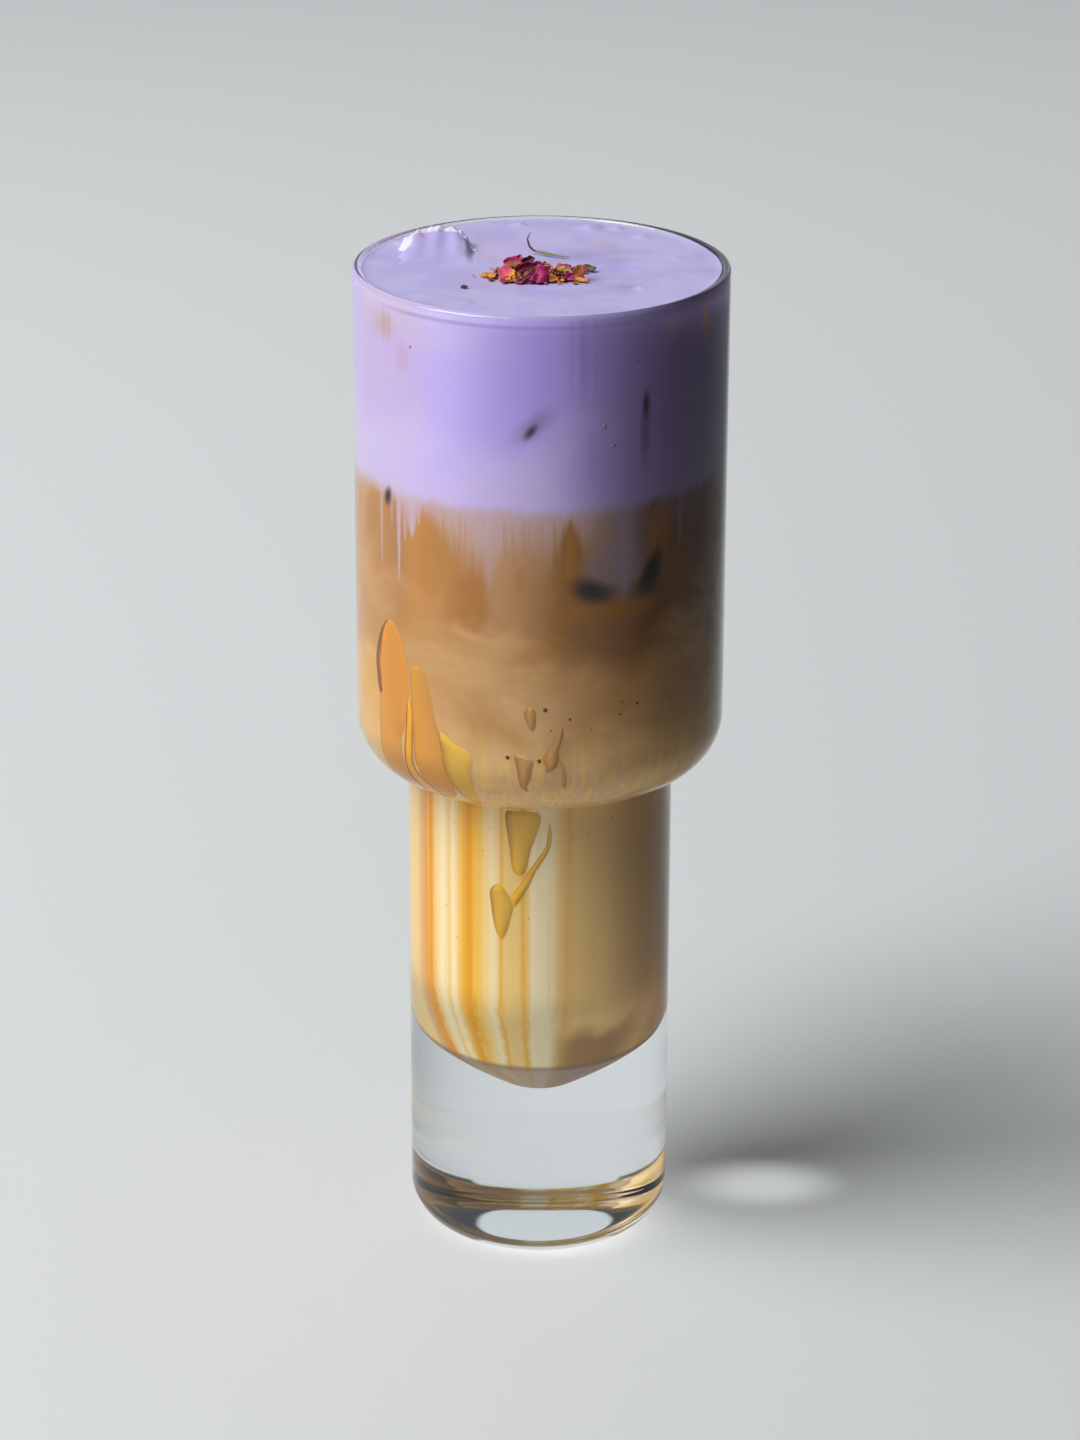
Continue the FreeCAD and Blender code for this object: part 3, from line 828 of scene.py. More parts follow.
def foam_finish(piece):
    """The foam's wall has the drink's colours; its top is a little mottled, and white where froth is torn."""
    finish = Finish("lavender_froth", [piece])
    colour = drink_colour(finish)
    x, y, z = finish.places()
    froth = finish.attribute("froth")
    mottle = finish.noise(finish.vector(x, y, z), scale=0.1, detail=4.0, roughness=0.55)
    grain = finish.noise(finish.vector(x, y, z), scale=2.2, detail=3.0)
    top = finish.mix(mottle.step(0.4, 0.66) * 0.6, FOAM_TOP, FOAM_TOP_DEEP)
    warm = finish.noise(finish.vector(x + 40, y, z), scale=0.08, detail=3.0)
    top = finish.mix(warm.step(0.56, 0.72) * 0.22, top, FOAM_PINK_TAN)
    above = z - foam_level / MM
    rise = above.step(0.6, 3.2)
    top = finish.mix(rise * 0.45, top, FOAM_DEEP)
    across = (x + 22.2) * 0.75 + (y - 12.4) * 0.3
    streak = across.bump_at(0.0, 0.5) * (y - 13.2).bump_at(0.0, 2.0) * z.step(195, 196)
    top = finish.mix(streak * 0.7, top, tint(214, 130, 120))
    top = finish.mix((froth + (grain - 0.5) * 0.5).step(0.25, 0.75), top, FROTH_WHITE)
    on_top = above.step(-0.45, -0.1)
    height = grain * (froth * 0.8 + 0.1)
    bump = finish.node("ShaderNodeBump", inputs={"Strength": 0.35, "Distance": 0.00012, "Height": height})
    finish.set(Base_Color=finish.mix(on_top, colour, top), Roughness=0.6, Specular_IOR_Level=0.2)
    finish.set(Normal=bump.outputs[0])


drink_finish([milk, latte, coffee])
foam_finish(foam)
print("drink finishes ready")

# %% [markdown]
# ## Honey on the glass
#
# Before the milk went in, honey was run down the inside of the wall. It clings there in fingers, drops and
# pools, each a thin lens between the drink and the glass. A run is given by a few rows: a height, and the
# bearings of its left and right edges there. Between the rows a smooth curve is drawn, and the lens is
# closed at both ends.

# %% A lens on the wall
wall_line = hollow_profile(glass_height, into_wall, arc_steps=14, run_step=3 * MM)[::-1]


def wall_radius(z):
    """Radius of the drink's surface at each height."""
    return np.interp(z, wall_line[:, 1], wall_line[:, 0])


def smooth_rows(rows, count):
    """Rows spaced evenly along a cubic through the given ones, with slopes from their neighbours."""
    rows = np.array(rows, float)
    knots = np.arange(len(rows))
    slopes = np.gradient(rows, axis=0)
    t = np.linspace(0, len(rows) - 1, count)
    k = np.minimum(t.astype(int), len(rows) - 2)
    s = (t - knots[k])[:, None]
    return (
        (2 * s ** 3 - 3 * s ** 2 + 1) * rows[k] + (s ** 3 - 2 * s ** 2 + s) * slopes[k]
        + (3 * s ** 2 - 2 * s ** 3) * rows[k + 1] + (s ** 3 - s ** 2) * slopes[k + 1]
    )


def wall_run(name, rows, lift, count=60, columns=28):
    """A lens along the wall.

    Row by row, its section goes between the left and right bearings as cos a. It stands out of the drink by
    the lift times the square of sin a, but no more than a fifth of the run's width there, and its back goes
    a small fixed depth into the drink. The lift falls to nothing at the first and last row as the square root
    of the distance from them.
    """
    z, left, right = smooth_rows(rows, count).T[:, 1:-1]
    share = np.linspace(0, 1, count)[1:-1]
    a = 2 * np.pi * np.arange(columns) / columns
    taper = np.minimum(1, np.sqrt(np.minimum(share, 1 - share) * 9))[:, None]
    across = -np.cos(a)[None] * np.ones((count - 2, 1))
    bearing = np.radians((left + right)[:, None] / 2 + (right - left)[:, None] / 2 * across)
    width = np.radians(right - left)[:, None] * wall_radius(z * MM)[:, None]
    front = np.sin(a) ** 2 * np.minimum(lift, 0.2 * width) * taper
    out = np.where(np.sin(a) > 0, front, np.sin(a) * 0.3 * MM)
    z = z[:, None] * MM * np.ones((1, columns))
    r = wall_radius(z) + out
    points = np.stack([r * np.sin(bearing), -r * np.cos(bearing), z], -1).reshape(-1, 3)
    ends = []
    for height, first, last in (rows[0], rows[-1]):
        angle = math.radians((first + last) / 2)
        radius = float(wall_radius(height * MM))
        ends.append([radius * math.sin(angle), -radius * math.cos(angle), height * MM])
    piece = closed_rings(name, points, ends, columns, inside_out=True)
    store(piece, "across", np.append((across + 1) / 2, [0.5, 0.5]))
    store(piece, "down", np.append(np.repeat(share, columns), [0, 1]))
    return piece


# %% The runs, each with its lift in mm and its rows from top to bottom: height in mm, left and right bearing
HONEY_RUNS = {
    "honey_top": (0.5, (
        (132.4, -55.5, -53), (130.5, -58.5, -49.5), (127, -61.4, -46.6), (123.4, -62.8, -45.3),
        (120.5, -62.2, -44.9), (117, -60.8, -45.6), (113, -56, -47), (109, -51.5, -49.5),
    )),
    "honey_finger": (0.45, (
        (120.4, -56.5, -54), (118.4, -60.0, -51.2), (114, -60.7, -50), (109, -60.7, -48.8),
        (104, -60.4, -48.4), (100.6, -59, -49), (99.6, -56, -52),
    )),
    "honey_channel": (0.6, (
        (118.5, -46.2, -45.0), (115.5, -46.6, -43.4), (112, -47.0, -43.6), (108, -47.6, -43.8),
        (104.5, -48, -43.4), (102.0, -48, -39.5), (100.4, -45.5, -36.5), (99.8, -42, -39),
    )),
    "honey_broad": (0.42, (
        (125.2, -43.5, -41), (123.6, -44.6, -38.2), (120, -44.4, -36.4), (115.6, -44.0, -34.6),
        (111, -43.6, -32.2), (106, -43.0, -30.8), (102.5, -40.5, -29.5), (100.2, -37, -32),
    )),
    "honey_pool": (0.55, (
        (113.4, -33.2, -31.6), (111.8, -33.4, -27.8), (110, -32.9, -21.6), (106.5, -32.0, -21.9),
        (103, -29.6, -21.7), (100.8, -27.0, -21.4), (100.0, -24.5, -22.4),
    )),
    "honey_drop_high": (0.5, (
        (120.6, -3.6, -2.4), (119.6, -4.9, -1.4), (118, -4.6, -1.2), (116.4, -3.4, -1.5),
        (115.8, -2.6, -1.9),
    )),
    "honey_drop_left": (0.5, (
        (111.2, -8.0, -7.2), (110.0, -7.9, -2.3), (108, -7.2, -2.5), (106, -6.7, -3.0), (104.6, -6.1, -4.1),
        (103.6, -4.6, -3.4),
    )),
    "honey_branch": (0.5, (
        (116.8, 5.9, 6.9), (115.6, 5.2, 7.4), (113.6, 4.2, 6.6), (111.9, 2.4, 5.8), (110.4, 0.9, 6.0),
        (109.0, 1.6, 5.4), (107.6, 1.9, 3.0),
    )),
    "honey_drop_right": (0.35, (
        (109.9, 6.0, 6.8), (108.4, 6.8, 7.8), (106.6, 7.1, 8.4), (105.0, 7.1, 8.4), (104.2, 7.5, 8.1),
    )),
    "honey_tongue": (0.55, (
        (95.6, -15.0, -1), (94, -15.7, 0.6), (90.5, -14.6, -1.6), (87.5, -13.6, -4.1), (84.4, -12.9, -5.5),
        (82.9, -11.4, -7.0), (82.3, -10, -8.6),
    )),
    "honey_drop_low": (0.6, (
        (80.2, -20.0, -17.6), (78.6, -22.9, -14.8), (76, -22.5, -12.0), (73.6, -21.8, -12.8),
        (70.8, -20.4, -14.6), (69.2, -18.8, -16.4), (68.6, -18.0, -17.0),
    )),
    "honey_link": (0.4, (
        (93.0, 4.2, 4.9), (90.6, 3.6, 5.4), (88.2, 2.6, 4.7), (85.8, -1.0, 2.0), (83.2, -5.0, -1.8),
        (80.4, -8.8, -4.6), (77.8, -13.0, -8.0), (75.6, -13.2, -11.0),
    )),
}
honey = {name: wall_run(name, rows, lift * MM) for name, (lift, rows) in HONEY_RUNS.items()}
print("honey runs:", len(honey))

# %% [markdown]
# ## Small things against the glass
#
# A few air bubbles and specks of petal sit on the wall. They are made once as a round bead with a few dozen
# faces, and copied to a list of places with array sums.

# %% Beads on the wall
def beads(name, places, flat=0.5):
    """Copies of a low round bead: (bearing, height, radius) in degrees and mm, squashed against the wall."""
    rows, columns = 7, 12
    tilt = np.pi * np.arange(1, rows) / rows
    turn = 2 * np.pi * np.arange(columns) / columns
    across, up = np.sin(tilt)[:, None], np.cos(tilt)[:, None]
    ring = np.stack([across * np.cos(turn), across * np.sin(turn), up + 0 * turn], -1).reshape(-1, 3)
    ball = np.concatenate([ring, [[0, 0, 1], [0, 0, -1]]])
    faces = grid_faces(rows - 1, columns)[:, ::-1]
    count = len(ring)
    first = np.arange(columns)
    last = count - columns + first
    bead = faces.tolist() + [(count, a, b) for a, b in zip(first, np.roll(first, -1))]
    bead += [(count + 1, b, a) for a, b in zip(last, np.roll(last, -1))]
    places = np.array(places, float)
    bearing, height, size = np.radians(places[:, 0]), places[:, 1] * MM, places[:, 2] * MM
    out = np.stack([np.sin(bearing), -np.cos(bearing), 0 * bearing], -1)
    side = np.stack([np.cos(bearing), np.sin(bearing), 0 * bearing], -1)
    centre = out * wall_radius(height)[:, None] + height[:, None] * np.array([0, 0, 1.0])
    points = (
        centre[:, None] + size[:, None, None] * (
            ball[None, :, :1] * side[:, None] + ball[None, :, 1:2] * out[:, None] * flat
            + ball[None, :, 2:] * np.array([0, 0, 1.0])
        )
    ).reshape(-1, 3)
    mesh = bpy.data.meshes.new(name)
    starts = range(0, len(points), len(ball))
    polygons = [[corner + start for corner in face] for start in starts for face in bead]
    mesh.from_pydata(points.tolist(), [], polygons)
    mesh.polygons.foreach_set("use_smooth", np.ones(len(mesh.polygons), bool))
    piece = new_object(name, mesh)
    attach(piece, "root")
    return piece


dark_beads = beads("dark_beads", (
    (1.6, 120.0, 0.42), (9.3, 118.0, 0.28), (3.4, 115.9, 0.18), (16.1, 115.6, 0.14), (-10.1, 110.4, 0.4),
    (-0.2, 109.9, 0.4), (26.3, 120.3, 0.26), (31.7, 119.5, 0.26), (25.7, 118.0, 0.22), (58.0, 134.5, 0.22),
    (64.5, 120.0, 0.18), (-57.5, 125.5, 0.14), (-38.6, 100.8, 0.22), (-30.0, 101.4, 0.2),
))
SPECKS, RED_SPECKS = 46, 30
generator = np.random.default_rng(12)
speck_ranges = ((-75, 75), (56, 95), (0.05, 0.14))  # bearing, height and radius
specks = np.stack([generator.uniform(low, high, SPECKS) for low, high in speck_ranges], -1)
red_specks = beads("red_specks", specks[:RED_SPECKS])
dark_specks = beads("dark_specks", specks[RED_SPECKS:])
amber_dots = beads("amber_dots", (
    (19.4, 174.0, 0.42), (22.6, 170.2, 0.36), (30.8, 184.0, 0.34), (-43.5, 186.5, 0.3),
))
print("specks on the wall:", SPECKS)

# %% [markdown]
# ## Honey's finish
#
# A thick lens of honey bends the light: one edge looks dark, the other side glows. That shade and glow are
# painted into the colour, which follows the number `across`, which runs from 0 at a run's left edge to 1 at
# its right one.

# %% Honey and beads
def honey_finish(name, runs, stops, low=(0.6, 0.33, 0.04), low_share=0.0):
    """Honey of the named runs: stops colour it from left to right, and low is its colour at the bottom."""
    finish = Finish(name, [honey[run] for run in runs])
    across = finish.attribute("across")
    down = finish.attribute("down")
    x, y, z = finish.places()
    streak = finish.noise(finish.vector(x * 0.9, y * 0.9, z * 0.03), detail=2.0)
    colour = finish.ramp(across + (streak - 0.5) * 0.12, stops)
    colour = finish.mix(down.step(0.35, 1.0) * low_share, colour, low)
    finish.set(Base_Color=colour, Roughness=0.12, Specular_IOR_Level=0.25)


HONEY_EDGE_PAINTED_SHADE = tint(112, 66, 30)
honey_finish("honey_thick", ["honey_top"], (
    (0.0, HONEY_EDGE_PAINTED_SHADE), (0.13, tint(140, 84, 40)), (0.2, tint(232, 154, 18)), (0.42, tint(216, 146, 30)),
    (0.72, tint(214, 146, 38)), (0.93, tint(226, 154, 22)), (1.0, tint(200, 146, 76)),
))
honey_finish("honey_fingers", ["honey_finger", "honey_broad"], (
    (0.0, tint(150, 96, 44)), (0.03, tint(196, 134, 60)), (0.12, tint(218, 154, 44)),
    (0.5, tint(214, 152, 50)), (0.85, tint(214, 150, 46)), (1.0, tint(200, 144, 70)),
), low=tint(232, 160, 40), low_share=0.5)
honey_finish("honey_bright", ["honey_channel"], (
    (0.0, HONEY_EDGE_PAINTED_SHADE), (0.16, tint(164, 98, 34)), (0.32, tint(236, 166, 8)), (0.72, tint(244, 182, 14)),
    (0.9, tint(206, 140, 30)), (1.0, tint(170, 108, 44)),
))
honey_finish("honey_clear", ["honey_pool", "honey_tongue", "honey_drop_low", "honey_link"], (
    (0.0, tint(150, 108, 40)), (0.1, tint(180, 134, 40)), (0.26, tint(214, 168, 50)),
    (0.55, tint(226, 182, 62)), (0.86, tint(236, 188, 50)), (1.0, tint(222, 180, 90)),
), low=tint(242, 182, 6), low_share=0.6)
honey_finish("honey_thin", ["honey_drop_high", "honey_drop_left", "honey_branch", "honey_drop_right"], (
    (0.0, tint(150, 106, 58)), (0.18, tint(172, 124, 66)), (0.45, tint(206, 156, 84)),
    (0.8, tint(216, 170, 104)), (1.0, tint(216, 172, 116)),
), low=tint(204, 138, 36), low_share=0.4)

for name, piece, colour in (
    ("plum", dark_beads, tint(92, 58, 56)), ("red_petal_dust", red_specks, tint(190, 60, 50)),
    ("dark_dust", dark_specks, tint(98, 100, 104)), ("amber", amber_dots, tint(176, 140, 150)),
):
    finish = Finish(name, [piece])
    x, y, z = finish.places()
    mottle = finish.noise(finish.vector(x, y, z), scale=4.0)
    darker = tuple(0.7 * part for part in colour)
    finish.set(Base_Color=finish.mix(mottle.step(0.3, 0.7), colour, darker), Roughness=0.25)

# %% [markdown]
# ## Dried petals
#
# A dried petal is a thin sheet that has rolled up across its width and bent along its length. `flakes`
# makes many such sheets at once into one piece for each kind, and a Solidify modifier gives them the
# thickness of real ones. The larger petals are placed one by one, as they fell. The crumbs between them are
# scattered by a seeded generator.

# %% Curled sheets
def flakes(name, places, thickness, steps=9, seed=1):
    """Curled sheets.

    Each row of places holds x and y, height over the foam, length and width in mm, then heading, tilt along
    the length and tilt across it in degrees, and the two half angles, in degrees, through which it is rolled
    across and bent along. The outline is an oval whose edge wanders by a few sines. Rolling puts the width on
    a circle whose radius is half the width over the half angle, and bending does the same to the length.
    """
    places = np.array(places, float)
    rng = np.random.default_rng(seed)
    u, v = np.meshgrid(np.linspace(-1, 1, steps), np.linspace(-1, 1, steps), indexing="ij")
    u, v = u.ravel()[None], v.ravel()[None]
    x, y, z, length, width, heading, pitch, roll, wrap, bend = (column[:, None] for column in places.T)
    phase = rng.uniform(0, 6.28, (len(places), 4))
    ragged = 1 + 0.13 * np.sin(3.1 * u + phase[:, :1]) + 0.09 * np.sin(7.3 * u + 2 * v + phase[:, 1:2])
    outline = (1 - 0.92 * np.abs(u) ** 3) ** 0.5 * ragged
    reach = 1 + 0.1 * np.sin(2.7 * v + phase[:, 2:3]) + 0.06 * np.sin(8 * v + phase[:, 3:4])
    wrap, bend = np.radians(wrap) + 0.02, np.radians(bend) + 0.02
    turn = v * outline * wrap
    local_y = width / 2 / wrap * np.sin(turn)
    lifted = width / 2 / wrap * (1 - np.cos(turn))
    lifted = lifted + 0.05 * width * np.sin(4 * u + 3 * v + phase[:, 1:2]) * (0.4 + np.abs(v))
    arc = length / 2 / bend
    along = u * reach * bend
    local_x = (arc - lifted) * np.sin(along)
    local_z = arc - (arc - lifted) * np.cos(along)
    local_z = local_z - local_z.mean(1, keepdims=True)
    heading, pitch, roll = np.radians(heading), np.radians(pitch), np.radians(roll)
    across, up = (
        local_y * np.cos(roll) - local_z * np.sin(roll), local_y * np.sin(roll) + local_z * np.cos(roll),
    )
    ahead, up = local_x * np.cos(pitch) - up * np.sin(pitch), local_x * np.sin(pitch) + up * np.cos(pitch)
    east = ahead * np.cos(heading) - across * np.sin(heading)
    north = ahead * np.sin(heading) + across * np.cos(heading)
    up = np.maximum(z + up, 0.02)
    points = np.stack([(x + east) * MM, (y + north) * MM, foam_level + up * MM], -1)
    one = grid_faces(steps, steps, closed=False)
    faces = (one[None] + (np.arange(len(places)) * steps * steps)[:, None, None]).reshape(-1, 4)
    piece = make_mesh(name, points.reshape(-1, 3), faces)
    store(piece, "along", (u + 0 * x).ravel() / 2 + 0.5)
    store(piece, "edge", (np.abs(v) + 0 * x).ravel())
    store(piece, "shade", (rng.uniform(0, 1, (len(places), 1)) + 0 * u).ravel())
    solid = piece.modifiers.new("thickness", "SOLIDIFY")
    solid.thickness = thickness * MM
    solid.offset = 0
    return piece


# %% Petals, one by one
rose_petals = flakes("rose_petals", (
    (-5.5, -3.6, 2.1, 3.0, 2.1, 12, 4, 52, 35, 20), (-4.1, -3.3, 2.65, 1.9, 1.1, 75, 35, 20, 50, 20),
    (-2.6, -3.1, 2.25, 2.9, 1.7, 28, 14, 60, 62, 25), (-2.9, -5.9, 1.45, 4.3, 2.9, 22, 8, 44, 80, 20),
    (-4.2, -5.2, 1.6, 2.6, 2.0, -20, 0, 30, 60, 25), (-0.9, -4.9, 1.7, 2.8, 2.2, -30, 10, 55, 70, 30),
    (-1.9, -9.4, 0.95, 2.6, 2.2, -24, 10, 56, 70, 35), (-0.9, -9.9, 0.8, 2.0, 1.7, 40, 0, 62, 60, 45),
    (-2.9, -9.2, 0.7, 1.6, 1.2, 10, 20, 50, 40, 20), (2.5, -7.4, 1.2, 1.7, 1.2, 70, 30, 50, 50, 20),
    (4.2, -3.2, 1.2, 2.7, 1.2, -12, -4, 40, 50, 20), (5.2, -8.4, 0.75, 1.6, 1.5, 20, 20, 62, 50, 20),
    (5.9, -4.3, 0.9, 1.5, 1.1, 35, 0, 55, 40, 10), (7.9, -3.2, 0.35, 1.0, 0.8, -30, 0, 40, 30, 10),
    (1.3, -5.4, 1.9, 1.3, 1.0, -60, 20, 50, 60, 20), (-6.9, -9.9, 0.2, 0.9, 0.7, 20, 10, 30, 30, 10),
    (-4.0, -10.3, 0.15, 1.3, 0.7, 0, 4, 20, 30, 10), (-3.4, -9.9, 0.3, 1.0, 0.7, 45, 10, 30, 30, 10),
), 0.14, seed=3)
rolled_petal = flakes("rolled_petal", (
    (0.15, -9.6, 1.45, 3.1, 4.4, 84, 66, 0, -118, 12),
), 0.14, steps=21, seed=4)
sunset_petal = flakes("sunset_petal", (
    (-6.3, -8.0, 1.25, 3.7, 2.7, -30, -14, 58, 34, 22),
), 0.14, steps=13, seed=8)
orange_flakes = flakes("orange_flakes", (
    (-8.3, -4.6, 1.0, 1.9, 0.9, -62, 30, 40, 40, 20), (-6.7, -4.9, 1.4, 1.4, 1.1, 30, 0, 55, 40, 10),
    (-9.9, -5.8, 0.3, 2.4, 1.2, 8, 4, 16, 30, 14), (-10.7, -5.9, 0.25, 1.3, 0.9, -30, 0, 20, 40, 10),
    (-8.8, -6.6, 0.25, 1.7, 0.8, -24, 0, 24, 40, 10), (-7.1, -7.4, 0.4, 1.0, 0.9, 20, 20, 40, 50, 10),
    (-4.1, -8.8, 0.5, 1.7, 0.9, -24, 0, 50, 40, 10), (0.5, -3.6, 1.7, 1.1, 0.9, 40, 40, 50, 70, 10),
    (1.5, -5.9, 1.6, 1.5, 1.3, -40, 20, 60, 60, 20), (3.2, -4.9, 1.35, 1.8, 1.1, 34, 14, 44, 50, 20),
    (3.8, -6.8, 0.95, 1.5, 1.3, -10, 20, 60, 60, 20), (2.2, -9.4, 0.6, 1.7, 1.3, 24, 10, 50, 50, 20),
    (1.9, -7.6, 1.1, 1.4, 1.2, 10, 30, 60, 60, 20), (7.4, -9.3, 0.4, 2.5, 0.8, -12, -6, 34, 30, 14),
    (6.2, -10.6, 0.15, 1.0, 0.7, 10, 0, 20, 40, 10), (3.2, -10.4, 0.12, 0.7, 0.5, 30, 0, 10, 40, 10),
    (8.2, -9.6, 0.2, 0.9, 0.5, 20, 0, 20, 40, 10), (-5.9, -9.4, 0.2, 1.3, 0.7, -10, 0, 20, 40, 10),
), 0.16, seed=5)
orange_plate = flakes("orange_plate", (
    (6.95, -8.2, 1.35, 2.9, 1.9, 88, 72, 0, 12, 8),
), 0.2, steps=11, seed=11)
brown_flake = flakes("brown_flake", (
    (-5.0, -5.3, 2.15, 2.8, 1.5, -6, 3, 34, 30, 20),
), 0.16, steps=11, seed=13)
green_bits = flakes("green_bits", (
    (4.6, -5.3, 1.15, 1.9, 1.1, -25, 0, 50, 90, 20), (4.0, -4.8, 1.3, 1.3, 0.8, 20, 0, 50, 90, 20),
    (5.3, -6.0, 0.8, 1.1, 0.7, -50, 0, 40, 70, 20),
), 0.16, seed=6)
dark_leaf = flakes("dark_leaf", (
    (8.7, -2.0, 0.55, 2.5, 1.5, -16, -4, 34, 60, 14), (-14.0, -13.7, 0.25, 1.3, 0.7, 20, 0, 30, 60, 10),
), 0.2, steps=11, seed=7)
placed = (rose_petals, rolled_petal, sunset_petal, orange_flakes, orange_plate, brown_flake, green_bits)
placed += (dark_leaf,)
print("petals and flakes:", [piece.name for piece in placed])

# %% Crumbs between and around them
scatter = np.random.default_rng(21)


def crumb_places(count, size_low, size_high, spread=1.0):
    """Random places in the heap's oval, denser in its middle, each low where it lies far out."""
    angle = scatter.uniform(0, 2 * np.pi, count)
    away = scatter.uniform(0, 1, count) ** 0.6 * spread
    size = scatter.uniform(size_low, size_high, count)
    height = (1.35 * (1 - np.minimum(away, 1) ** 2)) * scatter.uniform(0.5, 1.1, count) + 0.1
    width = size * scatter.uniform(0.5, 0.9, count)
    angle_ranges = ((0, 360), (-30, 30), (20, 70), (20, 80), (5, 30))  # heading, two tilts, roll and bend
    return np.stack([
        -1.0 + 9.6 * away * np.cos(angle), -6.4 + 4.4 * away * np.sin(angle), height, size, width,
        *(scatter.uniform(low, high, count) for low, high in angle_ranges),
    ], -1)


ORANGE, MAROON, PINK = 90, 110, 40  # how many of each
orange_crumbs = flakes("orange_crumbs", crumb_places(ORANGE, 0.4, 1.2), 0.14, steps=5, seed=31)
maroon_crumbs = flakes("maroon_crumbs", crumb_places(MAROON, 0.5, 1.6, 0.85), 0.12, steps=5, seed=32)
pink_dust = np.concatenate([crumb_places(PINK, 0.2, 0.5, 1.1), [
    (-12.5, -5.8, 0.12, 0.5, 0.45, 0, 0, 30, 60, 10), (-9.2, -0.8, 0.05, 0.6, 0.3, 0, 0, 10, 20, 10),
]])
pink_crumbs = flakes("pink_crumbs", pink_dust, 0.1, steps=5, seed=33)
print("crumbs:", ORANGE + MAROON + len(pink_dust))


# %% The core of the heap
on_foam = np.array([0, 0, foam_level])


def heap_core(name, columns=96, rings=24):
    """A low mound under the petals.

    Its height is 1 minus the square of the share of the way to its oval edge, times an unevenness of sines.
    """
    middle_x, middle_y, height, depth = -0.9, -6.4, 1.05, -0.2
    angles = 2 * np.pi * np.arange(columns) / columns
    share = np.linspace(1, 0, rings)[:-1, None] * np.ones(columns)
    wobble = 1 + 0.1 * np.sin(3 * angles + 1) + 0.07 * np.sin(7 * angles)
    x = middle_x + 7.6 * share * wobble * np.cos(angles)
    y = middle_y + 3.5 * share * wobble * np.sin(angles)
    z = height * (1 - share ** 2) * (1 + 0.3 * ripples(x, y, 1.9, 2.0, layers=3)) + 0.03
    base = np.stack([x[0], y[0], depth + 0 * x[0]], -1)
    shell = np.concatenate([base, np.stack([x, y, z], -1).reshape(-1, 3)])
    ends = np.array([[middle_x, middle_y, depth], [middle_x, middle_y, height]])
    piece = closed_rings(name, shell * MM + on_foam, ends * MM + on_foam, columns)
    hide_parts("petal_heap")
    return piece


core = heap_core("heap_core")


# %% The curled sliver and its pale stem
def tapered_tube(name, path, columns=14, count=70, flat=0.7):
    """A closed tube: circles of the given radii, squashed in height, carried along a smooth line.

    Each row of path holds x and y, height over the foam, and radius, all in mm.
    """
    line = smooth_rows(path, count)
    centre, radius = line[:, :3], line[:, 3:]
    ahead = np.gradient(centre, axis=0)
    ahead /= np.linalg.norm(ahead, axis=1, keepdims=True)
    side = np.cross(ahead, [0, 1, 0.0])
    side /= np.linalg.norm(side, axis=1, keepdims=True)
    up = np.cross(side, ahead)
    turn = 2 * np.pi * np.arange(columns) / columns
    grain = 1 + 0.16 * np.sin(3 * turn + 0.25 * np.arange(count)[:, None])
    ring = (
        centre[:, None] + (radius * grain * np.cos(turn))[..., None] * side[:, None]
        + (radius * grain * np.sin(turn) * flat)[..., None] * up[:, None]
    )
    ends = centre[[0, -1]]
    piece = closed_rings(name, ring.reshape(-1, 3) * MM + on_foam, ends * MM + on_foam, columns)
    store(piece, "along", np.append(np.repeat(np.linspace(0, 1, count), columns), [0, 1]))
    return piece


curled_sliver = tapered_tube("curled_sliver", (
    (-1.98, 12.0, 3.5, 0.03), (-2.4, 11.6, 2.95, 0.09), (-2.58, 11.0, 2.3, 0.14), (-2.4, 10.3, 1.75, 0.19),
    (-2.05, 9.7, 1.2, 0.2), (-1.55, 9.2, 0.85, 0.17), (-0.9, 8.95, 0.65, 0.12),
))
pale_stem = tapered_tube("pale_stem", (
    (-1.1, 9.0, 0.62, 0.08), (-0.3, 8.85, 0.55, 0.26), (0.8, 8.45, 0.45, 0.3), (2.0, 7.95, 0.35, 0.22),
    (3.4, 7.3, 0.28, 0.17), (5.0, 6.6, 0.25, 0.14),
))


# %% Finishes of the petals
def dried_finish(name, pieces, colours, rim=None):
    """Dried plant: three colours by an uneven value and each flake's own shade, with darker fine veins."""
    finish = Finish(name, pieces)
    x, y, z = finish.places()
    patch = finish.noise(finish.vector(x, y, z), scale=0.9, detail=4.0, roughness=0.6)
    veins = finish.noise(finish.vector(x, y, z), scale=5.0, detail=3.0)
    shade = finish.attribute("shade")
    value = patch + (shade - 0.5) * 0.5
    colour = finish.ramp(value, ((0.3, colours[0]), (0.5, colours[1]), (0.72, colours[2])))
    if rim is not None:
        along = finish.attribute("along")
        colour = finish.mix((along + (patch - 0.5) * 0.3).step(0.52, 0.78), colour, rim)
    colour = finish.mix(veins.step(0.42, 0.2) * 0.5, colour, tuple(0.45 * part for part in colours[0]))
    bump = finish.node("ShaderNodeBump", inputs={"Strength": 0.5, "Distance": 0.0001, "Height": veins})
    finish.set(Base_Color=colour, Roughness=0.6, Normal=bump.outputs[0], Sheen_Weight=0.15)


MAGENTA = (tint(104, 8, 56), tint(172, 16, 96), tint(206, 44, 126))
dried_finish("rose", [rose_petals, rolled_petal], MAGENTA)
dried_finish("rose_with_orange_edge", [sunset_petal], (
    tint(186, 30, 84), tint(214, 60, 110), tint(226, 90, 120),
), rim=tint(240, 160, 44))
dried_finish("orange_petal", [orange_flakes, orange_crumbs, orange_plate], (
    tint(166, 84, 24), tint(214, 128, 36), tint(236, 156, 60),
))
dried_finish("brown_petal", [brown_flake], (tint(150, 86, 40), tint(196, 126, 66), tint(214, 150, 90)))
dried_finish("maroon_petal", [maroon_crumbs, core], (tint(64, 14, 34), tint(110, 24, 48), tint(150, 70, 40)))
dried_finish("pink_petal", [pink_crumbs], (tint(214, 84, 120), tint(226, 110, 140), tint(236, 150, 130)))
